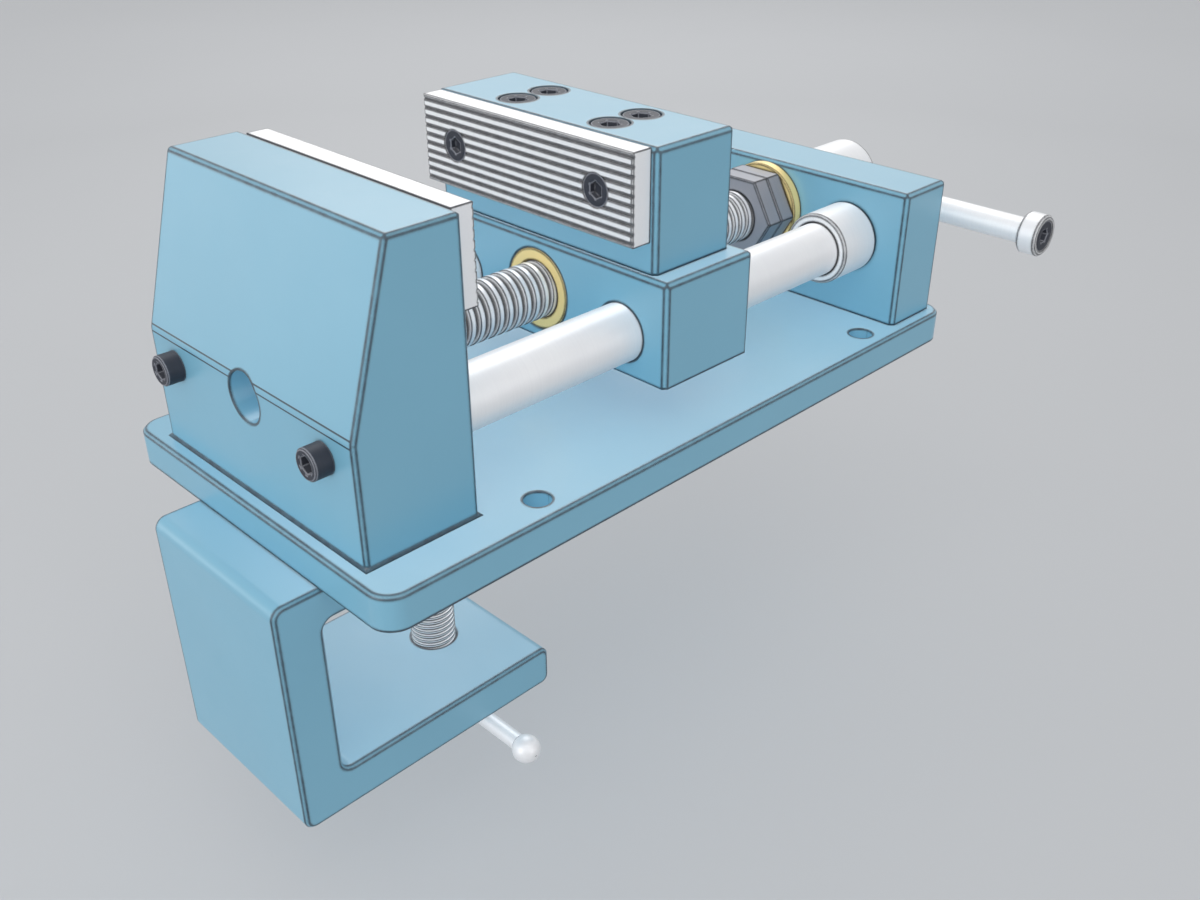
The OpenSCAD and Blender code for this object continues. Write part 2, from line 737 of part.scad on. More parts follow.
module clamp_bracket() {
    half = bracket_w / 2;
    wall_z0 = bracket_z0 + bracket_outer_r;
    wall_z1 = -bracket_outer_r;
    corner_x = bracket_x0 + bracket_outer_r;
    color(paint) difference() {
        union() {
            bracket_arm(-arm_top_t, 0);
            bracket_arm(bracket_z0, arm_low_z1);
            translate([0, bracket_y, wall_z0]) linear_extrude(height = wall_z1 - wall_z0)
                polygon(cut_rect(bracket_x0, bracket_in_x, -half, half, bracket_edge, bracket_edge));
            for (z = [wall_z0, wall_z1]) cross_bar(corner_x, z, bracket_outer_r, -bracket_edge);
            inner_corner(-arm_top_t, bracket_inner_r, -1);
            inner_corner(arm_low_z1, bracket_inner_r, 1);
        }
        round_z(bracket_z0 - over, arm_low_z1 + over, clamp_x, bracket_y, clamp_d + 2 * run_play);
        for (x = bracket_screw_x, y = bracket_screw_y)
            translate([x, y, -arm_top_t]) mirror([0, 0, 1])
                flush_hole(foot_screw_d, arm_top_t, foot_screw_head_d);
    }
}

module bracket_screws() {
    color(dark_steel) for (x = bracket_screw_x, y = bracket_screw_y)
        translate([x, y, sunk - arm_top_t]) mirror([0, 0, 1])
            flush_screw(foot_screw_d, bracket_screw_l, foot_screw_head_d, foot_screw_key);
}

// Carriage with the upper jaw and the lead nut

module carriage_block() {
    color(paint) difference() {
        edged_block(carriage_x0, carriage_x1, carriage_w, carriage_z0, carriage_z1, block_edge);
        round_x(carriage_x0 - over, carriage_x1 + over, 0, screw_z, lead_nut_d + 2 * seat_play);
        for (y = [-rod_span, rod_span] / 2)
            round_x(carriage_x0 - over, carriage_x1 + over, y, rod_z, rod_d + 2 * run_play);
        for (x = upper_bolt_x, y = [-upper_bolt_span, upper_bolt_span] / 2)
            round_z(upper_seat_z - upper_bolt_l - tap_spare, carriage_z1 + over, x, y,
                upper_bolt_d + 2 * seat_play);
    }
}

module upper_jaw() {
    color(paint) difference() {
        edged_block(upper_x0, upper_x1, upper_w, carriage_z1, jaw_top_z, block_edge);
        for (x = upper_bolt_x, y = [-upper_bolt_span, upper_bolt_span] / 2) {
            round_z(carriage_z1 - over, jaw_top_z, x, y, upper_bolt_d + 2 * screw_play);
            round_z(upper_seat_z, jaw_top_z + over, x, y, upper_cbore_d);
        }
        for (y = [-grip_screw_span, grip_screw_span] / 2)
            round_x(upper_x0 - over, upper_x0 - grip_t + sunk + grip_screw_l + tap_spare, y,
                grip_screw_z, grip_screw_d + 2 * seat_play);
    }
}

module upper_jaw_screws() {
    color(dark_steel) for (x = upper_bolt_x, y = [-upper_bolt_span, upper_bolt_span] / 2)
        translate([x, y, upper_seat_z])
            socket_screw(upper_bolt_d, upper_bolt_l, upper_bolt_head_d, upper_bolt_head_h,
                upper_bolt_key);
}

module lead_nut() {
    span = carriage_l + lead_nut_proud;
    bore_r = screw_d / 2 + run_play;
    color(brass) turned_x(carriage_x0 - lead_nut_proud, 0, screw_z)
        polygon([[bore_r, 0], [lead_nut_d / 2, 0], [lead_nut_d / 2, span], [bore_r, span]]);
}

// Lead screw with its nuts and hub

module lead_screw() {
    r1 = front_journal_d / 2;
    r2 = screw_d / 2;
    r3 = rear_journal_d / 2;
    color(steel) difference() {
        turned_x(0, 0, screw_z) polygon([
            [0, journal_x0], [r1 - front_journal_edge, journal_x0],
            [r1, journal_x0 + front_journal_edge], [r1, thread_x0], [r2, thread_x0],
            [r2, jam_x1], [r3, jam_x1], [r3, screw_x1], [0, screw_x1]]);
        round_y(-hub_d, hub_d, pin_x, screw_z, pin_d + 2 * seat_play);
    }
}

// Hexagonal nut with its flats level at top and bottom
module jam_nut(x0) {
    half = jam_nut_af / 2;
    color(nut_steel) difference() {
        translate([x0, 0, screw_z]) intersection_for(turn = [0, 60, 120]) rotate([turn, 0, 0])
            along_y(2 * jam_nut_af)
                polygon(cut_rect(0, jam_nut_t, -half, half, jam_nut_edge, jam_nut_edge));
        round_x(x0 - over, x0 + jam_nut_t + over, 0, screw_z, screw_d + 2 * seat_play);
    }
}

module jam_nut_front() {
    jam_nut(jam_x0);
}

module jam_nut_rear() {
    jam_nut(jam_x0 + jam_nut_t);
}

module screw_hub() {
    color(steel) difference() {
        turned_x(hub_x0, 0, screw_z) polygon(bush_outline(hub_d / 2, hub_l, turned_edge));
        round_x(hub_x0 - over, screw_x1 + sunk, 0, screw_z, rear_journal_d + 2 * seat_play);
        round_y(-hub_d, hub_d, bar_x, screw_z, bar_d + 2 * run_play);
        round_y(-hub_d, hub_d, pin_x, screw_z, pin_d + 2 * seat_play);
    }
}

// Slit spring pin that locks the hub to the screw
module hub_pin() {
    half = hub_d / 2 - hub_pin_short;
    color(dark_steel) difference() {
        round_y(-half, half, pin_x, screw_z, pin_d);
        round_y(-half - over, half + over, pin_x, screw_z, pin_d - 2 * pin_wall);
        translate([pin_x, -half - over, screw_z - pin_slit / 2])
            cube([pin_d, 2 * (half + over), pin_slit]);
    }
}

// Handle bar with its caps

module handle_bar() {
    color(steel) difference() {
        round_y(-bar_end_y, bar_end_y, bar_x, screw_z, bar_d);
        both_sides() round_y(handle_l / 2 - sunk - cap_screw_l - tap_spare, bar_end_y + over,
            bar_x, screw_z, cap_screw_d + 2 * seat_play);
    }
}

module handle_cap(side) {
    r = cap_d / 2;
    cone_h = (cap_screw_head_d - cap_screw_d) / 2;
    color(steel) mirror([0, side > 0 ? 0 : 1, 0]) difference() {
        turned_y(bar_x, cap_y0, screw_z) polygon(bush_outline(r, cap_l, turned_edge));
        round_y(cap_y0 - over, bar_end_y, bar_x, screw_z, bar_d + 2 * seat_play);
        translate([bar_x, handle_l / 2, screw_z]) rotate([-90, 0, 0])
            flush_hole(cap_screw_d, cap_l - cap_socket, cap_screw_head_d);
    }
}

module handle_cap_left() {
    handle_cap(-1);
}

module handle_cap_right() {
    handle_cap(1);
}

module cap_screws() {
    color(dark_steel) both_sides() translate([bar_x, handle_l / 2 - sunk, screw_z])
        rotate([-90, 0, 0])
            flush_screw(cap_screw_d, cap_screw_l, cap_screw_head_d, cap_screw_key);
}

// Swivelling pad on the clamp screw's nose

module clamp_pad() {
    r = pad_d / 2;
    bore_r = nose_d / 2 + run_play;
    groove_r = ring_out_d / 2 + ring_room;
    groove_z0 = ring_station - ring_room;
    groove_z1 = ring_station + ring_t + ring_room;
    color(steel) translate([clamp_x, bracket_y, pad_z0]) rotate_extrude() polygon([
        [0, nose_l], [bore_r, nose_l], [bore_r, groove_z1], [groove_r, groove_z1],
        [groove_r, groove_z0], [bore_r, groove_z0], [bore_r, 0], [r - pad_edge, 0],
        [r, pad_edge], [r, pad_t - pad_edge], [r - pad_edge, pad_t], [0, pad_t]]);
}

module clamp_screw() {
    r = clamp_d / 2;
    nose_r = nose_d / 2;
    groove_r = ring_groove_d / 2;
    color(steel) difference() {
        translate([clamp_x, bracket_y, 0]) rotate_extrude() polygon([
            [0, clamp_z0], [r - clamp_end_edge, clamp_z0], [r, clamp_z0 + clamp_end_edge],
            [r, pad_z0 - end_play], [nose_r, pad_z0 - end_play], [nose_r, ring_z],
            [groove_r, ring_z], [groove_r, ring_z + ring_t], [nose_r, ring_z + ring_t],
            [nose_r, nose_z1], [0, nose_z1]]);
        round_y(bracket_y - clamp_d, bracket_y + clamp_d, clamp_x, tee_z, tee_d + 2 * run_play);
    }
}

// Open snap ring that keeps the pad on the screw
module pad_snap_ring() {
    color(dark_steel) translate([clamp_x, bracket_y, ring_z]) difference() {
        cylinder(h = ring_t, d = ring_out_d);
        translate([0, 0, -over]) cylinder(h = ring_t + 2 * over, d = ring_in_d);
        translate([0, -ring_gap / 2, -over]) cube([ring_out_d, ring_gap, ring_t + 2 * over]);
    }
}

// Clamp bar with its ball ends

module clamp_bar() {
    color(steel) translate([0, bracket_y, 0]) round_y(-tee_reach, tee_reach, clamp_x, tee_z, tee_d);
}

module clamp_ball(side) {
    color(steel) translate([0, bracket_y, 0]) mirror([0, side > 0 ? 0 : 1, 0]) difference() {
        translate([clamp_x, tee_reach, tee_z]) rotate([90, 0, 0]) sphere(d = ball_d);
        round_y(tee_reach - ball_d, tee_reach, clamp_x, tee_z, tee_d + 2 * seat_play);
    }
}

module clamp_ball_left() {
    clamp_ball(-1);
}

module clamp_ball_right() {
    clamp_ball(1);
}

base_plate();
fixed_jaw();
fixed_jaw_plate();
fixed_plate_screws();
guide_rod_left();
guide_rod_right();
rod_collar_left();
rod_collar_right();
rod_bolts_front();
rod_bolts_rear();
rear_block();
rear_block_screws();
thrust_bush();
clamp_bracket();
bracket_screws();
carriage_block();
upper_jaw();
moving_jaw_plate();
moving_plate_screws();
upper_jaw_screws();
lead_nut();
lead_screw();
jam_nut_front();
jam_nut_rear();
screw_hub();
hub_pin();
handle_bar();
handle_cap_left();
handle_cap_right();
cap_screws();
clamp_pad();
clamp_screw();
pad_snap_ring();
clamp_bar();
clamp_ball_left();
clamp_ball_right();
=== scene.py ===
"""Portable bench vise: finishes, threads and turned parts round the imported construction.

Everything is in metres, in the frame of the construction: X along the vise towards the
handle, Y across it and Z up, with the origin between the four bolt holes.
"""
import json
import logging
import math
from dataclasses import dataclass
from enum import Enum
from typing import Any, Iterable, Mapping, Sequence

import bmesh
import bpy
from mathutils import Matrix, Vector

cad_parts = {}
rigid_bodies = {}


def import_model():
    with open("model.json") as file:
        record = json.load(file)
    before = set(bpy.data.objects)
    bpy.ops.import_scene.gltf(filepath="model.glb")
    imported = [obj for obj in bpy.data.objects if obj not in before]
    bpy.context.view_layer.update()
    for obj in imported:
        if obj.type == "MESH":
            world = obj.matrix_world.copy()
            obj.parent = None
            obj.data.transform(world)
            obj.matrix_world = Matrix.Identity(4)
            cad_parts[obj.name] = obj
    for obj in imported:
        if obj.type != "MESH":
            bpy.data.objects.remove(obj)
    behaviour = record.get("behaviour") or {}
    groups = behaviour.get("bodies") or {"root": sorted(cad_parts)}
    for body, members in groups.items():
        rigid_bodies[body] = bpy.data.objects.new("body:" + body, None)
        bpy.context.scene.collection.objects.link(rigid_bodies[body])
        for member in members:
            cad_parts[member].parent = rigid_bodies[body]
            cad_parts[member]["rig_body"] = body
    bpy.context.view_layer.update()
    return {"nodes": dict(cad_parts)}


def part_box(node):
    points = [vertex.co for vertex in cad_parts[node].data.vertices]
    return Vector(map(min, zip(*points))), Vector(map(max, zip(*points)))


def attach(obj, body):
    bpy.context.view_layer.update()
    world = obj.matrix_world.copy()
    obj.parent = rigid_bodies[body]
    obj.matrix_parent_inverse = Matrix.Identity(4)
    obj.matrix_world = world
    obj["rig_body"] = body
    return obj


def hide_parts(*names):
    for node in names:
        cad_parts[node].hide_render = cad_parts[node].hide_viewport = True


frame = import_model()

LOG = logging.getLogger("bench_vise")
MM = 0.001
FULL_TURN = 2.0 * math.pi
HEX_HALF_SIDE = math.pi / 6.0
# Edges that turn by more than this angle, in degrees, stay sharp
SHARP_ANGLE = 28.0
# Points nearer than these distances are one: in a turned form, in a thread, on a cut
TURNED_WELD = 1e-7
THREAD_WELD = 1e-6
CUT_WELD = 1e-8
SIDES = (-1.0, 1.0)

Socket = bpy.types.NodeSocket
Outline = Sequence[tuple[float, float]]
Colour = tuple[float, float, float]


def srgb(red: int, green: int, blue: int) -> Colour:
    """Turns a screen colour into the linear colour that a shader takes.

    Args:
        red: Red on the screen, from 0 to 255.
        green: Green on the screen.
        blue: Blue on the screen.

    Returns:
        The linear colour, each part from 0 to 1.
    """
    def linear(value: int) -> float:
        """Returns one linear part of the colour."""
        share = value / 255.0
        return share / 12.92 if share <= 0.04045 else ((share + 0.055) / 1.055) ** 2.4
    return linear(red), linear(green), linear(blue)


@dataclass(frozen=True)
class Patches:
    """Soft noise whose grey values from low to high are carried to start and end."""

    scale: float
    detail: float
    low: float = 0.3
    high: float = 0.7
    start: float = 0.0
    end: float = 1.0


class Graph:
    """Adds nodes to a shader tree and links them."""

    def __init__(self, tree: bpy.types.NodeTree) -> None:
        """Keeps the tree that the nodes go into."""
        self.tree = tree

    def add(self, kind: str, settings: Mapping[str, Any] | None = None,
            sockets: Mapping[str | int, Any] | None = None) -> bpy.types.Node:
        """Adds one node.

        Args:
            kind: The node's type.
            settings: Properties of the node, by name.
            sockets: Inputs by name or number, each a value or the socket that feeds it.

        Returns:
            The new node.
        """
        node = self.tree.nodes.new(kind)
        for name, value in (settings or {}).items():
            setattr(node, name, value)
        for key, value in (sockets or {}).items():
            if isinstance(value, Socket):
                self.tree.links.new(value, node.inputs[key])
            else:
                node.inputs[key].default_value = value
        return node

    def maths(self, operation: str, first: Any, second: Any = 0.0) -> Socket:
        """Returns the result of one sum on two values or sockets."""
        node = self.add("ShaderNodeMath", {"operation": operation}, {0: first, 1: second})
        return node.outputs[0]

    def ramp(self, value: Socket, low: float, high: float, start: float = 0.0,
             end: float = 1.0) -> Socket:
        """Returns the value carried from low..high to start..end, and held there."""
        node = self.add("ShaderNodeMapRange", {"clamp": True}, {
            "Value": value, "From Min": low, "From Max": high, "To Min": start, "To Max": end})
        return node.outputs["Result"]

    def patches(self, place: Socket, kind: Patches) -> Socket:
        """Returns the value of soft patches at a place."""
        node = self.add("ShaderNodeTexNoise", None,
                        {"Vector": place, "Scale": kind.scale, "Detail": kind.detail})
        return self.ramp(node.outputs["Fac"], kind.low, kind.high, kind.start, kind.end)

    def blend(self, share: Socket | float, first: Any, second: Any) -> Socket:
        """Returns a colour between two, by a share from 0 to 1."""
        # The mix node's sockets go by number, because their names repeat
        node = self.add("ShaderNodeMix", {"data_type": "RGBA"}, {0: share, 6: first, 7: second})
        return node.outputs[2]


@dataclass(frozen=True)
class GroupSocket:
    """Name and kind of one socket of a shader group."""

    name: str
    kind: str = "NodeSocketFloat"


class Effects:
    """The shader groups that several finishes share, each built once."""

    SAMPLES = 8
    # Where the edge line starts and is full: one less the cosine of the softened turn
    EDGE_TURN = (0.0015, 0.007)
    EDGE_GAPS = Patches(300.0, 3.0, 0.38, 0.66)
    # Openness at which the painted shade line in gaps and the softer painted shade in hollows are
    # full and gone
    GAP_SHADE_OPEN = (0.46, 0.66)
    SOFT_SHADE_OPEN = (0.50, 0.95)
    # Patches that break up the softer painted shade in the hollows
    SOFT_SHADE_PATCHES = Patches(130.0, 3.0, 0.25, 0.75, 0.45)
    COAT_TONE = Patches(14.0, 4.0)
    COAT_SHEEN = Patches(60.0, 5.0)
    COAT_DETAIL = 2.0
    MARKS_DETAIL = 4.0
    MARKS_ROUGHNESS = 0.62
    SMUDGES = Patches(38.0, 5.0, 0.35, 0.68)

    def __init__(self) -> None:
        """Builds the groups."""
        self.edge_line = self._edge_line()
        self.crevice_shade = self._crevice_shade()
        self.grain = self._grain()
        self.tool_marks = self._tool_marks()

    @staticmethod
    def _open(name: str, inputs: Iterable[GroupSocket],
              outputs: Iterable[GroupSocket]) -> tuple[Graph, bpy.types.Node, bpy.types.Node]:
        """Makes an empty group.

        Args:
            name: The group's name.
            inputs: Its inputs.
            outputs: Its outputs.

        Returns:
            The group's graph, its input node and its output node.
        """
        tree = bpy.data.node_groups.new(name, "ShaderNodeTree")
        for side, sockets in (("INPUT", inputs), ("OUTPUT", outputs)):
            for item in sockets:
                tree.interface.new_socket(name=item.name, in_out=side, socket_type=item.kind)
        graph = Graph(tree)
        return graph, graph.add("NodeGroupInput"), graph.add("NodeGroupOutput")

    def _edge_line(self) -> bpy.types.NodeTree:
        """Builds the mask of the narrow line along each edge and the normal that softens it."""
        graph, given, made = self._open(
            "edge_line",
            [GroupSocket("Place", "NodeSocketVector"), GroupSocket("Radius"),
             GroupSocket("Breakup")],
            [GroupSocket("Mask"), GroupSocket("Normal", "NodeSocketVector")])
        soft = graph.add("ShaderNodeBevel", {"samples": self.SAMPLES},
                         {"Radius": given.outputs["Radius"]})
        facing = graph.add("ShaderNodeNewGeometry")
        agree = graph.add("ShaderNodeVectorMath", {"operation": "DOT_PRODUCT"},
                          {0: soft.outputs["Normal"], 1: facing.outputs["Normal"]})
        turned = graph.maths("SUBTRACT", 1.0, agree.outputs["Value"])
        line = graph.ramp(turned, *self.EDGE_TURN)
        patch = graph.patches(given.outputs["Place"], self.EDGE_GAPS)
        gaps = graph.maths("MULTIPLY", patch, given.outputs["Breakup"])
        mask = graph.maths("MULTIPLY", line, graph.maths("SUBTRACT", 1.0, gaps))
        graph.tree.links.new(mask, made.inputs["Mask"])
        graph.tree.links.new(soft.outputs["Normal"], made.inputs["Normal"])
        return graph.tree

    def _crevice_shade(self) -> bpy.types.NodeTree:
        """Builds the masks of painted shade from occlusion: a dark line in gaps and where pieces
        meet, and softer shade in patches beside it.
        """
        graph, given, made = self._open(
            "crevice_shade",
            [GroupSocket("Place", "NodeSocketVector"), GroupSocket("Reach")],
            [GroupSocket("Line"), GroupSocket("SoftShade")])
        shade = graph.add("ShaderNodeAmbientOcclusion", {"samples": self.SAMPLES},
                          {"Distance": given.outputs["Reach"]})
        # Both masks grow where little of the surroundings is open: painted shade
        line = graph.ramp(shade.outputs["AO"], *self.GAP_SHADE_OPEN, 1.0, 0.0)
        closed = graph.ramp(shade.outputs["AO"], *self.SOFT_SHADE_OPEN, 1.0, 0.0)
        patch = graph.patches(given.outputs["Place"], self.SOFT_SHADE_PATCHES)
        graph.tree.links.new(line, made.inputs["Line"])
        graph.tree.links.new(graph.maths("MULTIPLY", closed, patch), made.inputs["SoftShade"])
        return graph.tree

    def _grain(self) -> bpy.types.NodeTree:
        """Builds the fine relief and the slow change of tone of a sprayed coat."""
        graph, given, made = self._open(
            "sprayed_grain",
            [GroupSocket("Place", "NodeSocketVector"), GroupSocket("Scale")],
            [GroupSocket("Tone"), GroupSocket("Height"), GroupSocket("Sheen")])
        place = given.outputs["Place"]
        fine = graph.add("ShaderNodeTexNoise", None, {
            "Vector": place, "Scale": given.outputs["Scale"], "Detail": self.COAT_DETAIL})
        graph.tree.links.new(graph.patches(place, self.COAT_TONE), made.inputs["Tone"])
        graph.tree.links.new(fine.outputs["Fac"], made.inputs["Height"])
        graph.tree.links.new(graph.patches(place, self.COAT_SHEEN), made.inputs["Sheen"])
        return graph.tree

    def _tool_marks(self) -> bpy.types.NodeTree:
        """Builds the fine lines that turning or grinding leaves."""
        graph, given, made = self._open(
            "tool_marks",
            [GroupSocket("Place", "NodeSocketVector"), GroupSocket("Lay", "NodeSocketVector"),
             GroupSocket("Scale")],
            [GroupSocket("Lines"), GroupSocket("Smudge")])
        along = graph.add("ShaderNodeVectorMath", {"operation": "MULTIPLY"},
                          {0: given.outputs["Place"], 1: given.outputs["Lay"]})
        lines = graph.add("ShaderNodeTexNoise", None, {
            "Vector": along.outputs["Vector"], "Scale": given.outputs["Scale"],
            "Detail": self.MARKS_DETAIL, "Roughness": self.MARKS_ROUGHNESS})
        smudge = graph.patches(given.outputs["Place"], self.SMUDGES)
        graph.tree.links.new(lines.outputs["Fac"], made.inputs["Lines"])
        graph.tree.links.new(smudge, made.inputs["Smudge"])
        return graph.tree


# Weight of an axis along which the tool marks are drawn out
DRAWN_OUT = 0.012


class Lay(Enum):
    """Way in which the tool marks run, as the weight of each axis in the pattern."""

    RINGS_ABOUT_X = (1.0, DRAWN_OUT, DRAWN_OUT)
    RINGS_ABOUT_Y = (DRAWN_OUT, 1.0, DRAWN_OUT)
    RINGS_ABOUT_Z = (DRAWN_OUT, DRAWN_OUT, 1.0)
    LINES_ALONG_Y = (1.0, DRAWN_OUT, 1.0)


@dataclass(frozen=True)
class PaintFinish:
    """Pale blue sprayed coat on steel, worn to its dark primer along the edges, with painted shade
    in its gaps and hollows.
    """

    name: str = "sprayed_blue"
    colour: Colour = srgb(117, 171, 195)
    shade: Colour = srgb(113, 167, 191)
    # Dark primer at worn edges; the painted shade line in gaps takes the same colour
    primer_and_shade: Colour = srgb(26, 42, 56)
    # Darker paint for the softer painted shade in the hollows
    soft_shade: Colour = srgb(84, 120, 142)
    roughness: float = 0.36
    roughness_spread: float = 0.03
    coat_weight: float = 0.35
    coat_roughness: float = 0.25
    grain_scale: float = 1500.0
    grain_strength: float = 0.15
    grain_height: float = 0.02 * MM
    line_radius: float = 1.5 * MM
    line_breakup: float = 0.15
    line_share: float = 0.95
    # Reach of the occlusion that lays the painted shade, and the share of the softer shade
    gap_shade_reach: float = 2.0 * MM
    soft_shade_share: float = 0.35
    # Heights of the worn lines along a shallow bend, and the distances from each at which
    # its line is full and gone
    bends: tuple[float, ...] = ()
    bend_full: float = 0.20 * MM
    bend_gone: float = 0.34 * MM
    bend_facing: float = -0.9

    def _bend_line(self, graph: Graph, place: Socket, height: float) -> Socket:
        """Draws the worn line along a shallow bend in a face towards the fixed jaw's end.

        Args:
            graph: The material's graph.
            place: The object coordinates.
            height: Where the bend lies.

        Returns:
            The line's mask.
        """
        upright = graph.add("ShaderNodeSeparateXYZ", None, {0: place}).outputs["Z"]
        away = graph.maths("ABSOLUTE", graph.maths("SUBTRACT", upright, height))
        line = graph.ramp(away, self.bend_full, self.bend_gone, 1.0, 0.0)
        normal = graph.add("ShaderNodeNewGeometry").outputs["Normal"]
        facing = graph.add("ShaderNodeSeparateXYZ", None, {0: normal}).outputs["X"]
        outer = graph.maths("LESS_THAN", facing, self.bend_facing)
        return graph.maths("MULTIPLY", line, outer)

    def build(self, effects: Effects) -> bpy.types.Material:
        """Builds the material.

        Args:
            effects: The shared shader groups.

        Returns:
            The material.
        """
        material, graph, shader, place = open_material(self.name)
        grain = graph.add("ShaderNodeGroup", {"node_tree": effects.grain},
                          {"Place": place, "Scale": self.grain_scale})
        edge = graph.add("ShaderNodeGroup", {"node_tree": effects.edge_line}, {
            "Place": place, "Radius": self.line_radius, "Breakup": self.line_breakup})
        seam = graph.add("ShaderNodeGroup", {"node_tree": effects.crevice_shade},
                         {"Place": place, "Reach": self.gap_shade_reach})
        coat = graph.blend(grain.outputs["Tone"], (*self.shade, 1.0), (*self.colour, 1.0))
        # Softer painted shade in the hollows, in patches
        soft_shaded = graph.maths("MULTIPLY", seam.outputs["SoftShade"], self.soft_shade_share)
        coat = graph.blend(soft_shaded, coat, (*self.soft_shade, 1.0))
        # Worn primer on the edges and painted shade lines in the gaps share one dark colour
        dark = graph.maths("MAXIMUM", edge.outputs["Mask"], seam.outputs["Line"])
        for height in self.bends:
            dark = graph.maths("MAXIMUM", dark, self._bend_line(graph, place, height))
        worn_and_shaded = graph.maths("MULTIPLY", dark, self.line_share)
        coat = graph.blend(worn_and_shaded, coat, (*self.primer_and_shade, 1.0))
        rough = graph.ramp(grain.outputs["Sheen"], 0.0, 1.0,
                           self.roughness - self.roughness_spread,
                           self.roughness + self.roughness_spread)
        bump = graph.add("ShaderNodeBump", None, {
            "Strength": self.grain_strength, "Distance": self.grain_height,
            "Height": grain.outputs["Height"], "Normal": edge.outputs["Normal"]})
        link_shader(graph, shader, coat, rough, bump.outputs["Normal"])
        shader.inputs["Coat Weight"].default_value = self.coat_weight
        shader.inputs["Coat Roughness"].default_value = self.coat_roughness
        return material


@dataclass(frozen=True)
class Tones:
    """Colours of one metal: its skin, its duller patches, its edges and the painted shade in its
    gaps and seams.
    """

    skin: Colour
    dull: Colour
    edge: Colour
    seam: Colour


@dataclass(frozen=True)
class MetalFinish:
    """Machined metal with tool marks, handling marks, lines along its edges and painted shade
    lines in its gaps.
    """

    name: str
    tones: Tones
    lay: Lay
    roughness: float
    metallic: float
    lines_per_metre: float = 2600.0
    lines_height: float = 0.004 * MM
    lines_strength: float = 0.25
    edge_share: float = 0.92
    # How dark the painted shade line in gaps goes, and the reach of its occlusion
    gap_shade_share: float = 0.92
    gap_shade_reach: float = 1.6 * MM
    line_radius: float = 1.3 * MM
    line_breakup: float = 0.12
    specular: float = 0.5
    smudge_share: float = 0.35
    # Greys of the lines between which their tone and their roughness change, and by how much
    lines_tone: tuple[float, float] = (0.35, 0.65)
    lines_share: float = 0.3
    lines_grey: tuple[float, float] = (0.3, 0.7)
    lines_roughness: float = 0.03
    # Taken off the roughness where there are no smudges, and added where they are full
    smudge_roughness: tuple[float, float] = (0.02, 0.03)

    def build(self, effects: Effects) -> bpy.types.Material:
        """Builds the material.

        Args:
            effects: The shared shader groups.

        Returns:
            The material.
        """
        material, graph, shader, place = open_material(self.name)
        marks = graph.add("ShaderNodeGroup", {"node_tree": effects.tool_marks},
                          {"Place": place, "Lay": self.lay.value, "Scale": self.lines_per_metre})
        edge = graph.add("ShaderNodeGroup", {"node_tree": effects.edge_line}, {
            "Place": place, "Radius": self.line_radius, "Breakup": self.line_breakup})
        seam = graph.add("ShaderNodeGroup", {"node_tree": effects.crevice_shade},
                         {"Place": place, "Reach": self.gap_shade_reach})
        dull = (*self.tones.dull, 1.0)
        skin = graph.blend(graph.maths("MULTIPLY", marks.outputs["Smudge"], self.smudge_share),
                           (*self.tones.skin, 1.0), dull)
        lines = graph.ramp(marks.outputs["Lines"], *self.lines_tone, 0.0, self.lines_share)
        skin = graph.blend(lines, skin, dull)
        skin = graph.blend(graph.maths("MULTIPLY", edge.outputs["Mask"], self.edge_share),
                           skin, (*self.tones.edge, 1.0))
        # Painted shade line in gaps, where pieces meet and in thread roots
        skin = graph.blend(graph.maths("MULTIPLY", seam.outputs["Line"], self.gap_shade_share),
                           skin, (*self.tones.seam, 1.0))
        fine = graph.ramp(marks.outputs["Lines"], *self.lines_grey, -self.lines_roughness,
                          self.lines_roughness)
        less, more = self.smudge_roughness
        broad = graph.ramp(marks.outputs["Smudge"], 0.0, 1.0, self.roughness - less,
                           self.roughness + more)
        bump = graph.add("ShaderNodeBump", None, {
            "Strength": self.lines_strength, "Distance": self.lines_height,
            "Height": marks.outputs["Lines"], "Normal": edge.outputs["Normal"]})
        link_shader(graph, shader, skin, graph.maths("ADD", broad, fine), bump.outputs["Normal"])
        shader.inputs["Metallic"].default_value = self.metallic
        shader.inputs["Specular IOR Level"].default_value = self.specular
        return material


def open_material(name: str) -> tuple[bpy.types.Material, Graph, bpy.types.Node, Socket]:
    """Makes a material with an empty principled shader.

    Args:
        name: The material's name.

    Returns:
        The material, its graph, its principled shader and the object coordinates.
    """
    material = bpy.data.materials.new(name)
    material.use_nodes = True
    graph = Graph(material.node_tree)
    shader = material.node_tree.nodes["Principled BSDF"]
    place = graph.add("ShaderNodeTexCoord").outputs["Object"]
    return material, graph, shader, place


def link_shader(graph: Graph, shader: bpy.types.Node, colour: Socket, roughness: Socket,
                normal: Socket) -> None:
    """Feeds the changing sockets of a principled shader.

    Args:
        graph: The material's graph.
        shader: The principled shader.
        colour: Feeds Base Color.
        roughness: Feeds Roughness.
        normal: Feeds Normal.
    """
    for key, value in (("Base Color", colour), ("Roughness", roughness), ("Normal", normal)):
        graph.tree.links.new(value, shader.inputs[key])


# Skin, duller patches, edges, and the colour of the painted shade in gaps
BRIGHT = Tones(srgb(234, 235, 237), srgb(222, 223, 227), srgb(40, 42, 48), srgb(34, 35, 40))
BLACK = Tones(srgb(52, 55, 64), srgb(44, 47, 56), srgb(150, 153, 162), srgb(16, 17, 20))
GREY = Tones(srgb(146, 148, 156), srgb(132, 134, 142), srgb(30, 32, 38), srgb(26, 27, 32))
GOLDEN = Tones(srgb(242, 220, 156), srgb(232, 206, 136), srgb(66, 52, 28), srgb(50, 38, 20))


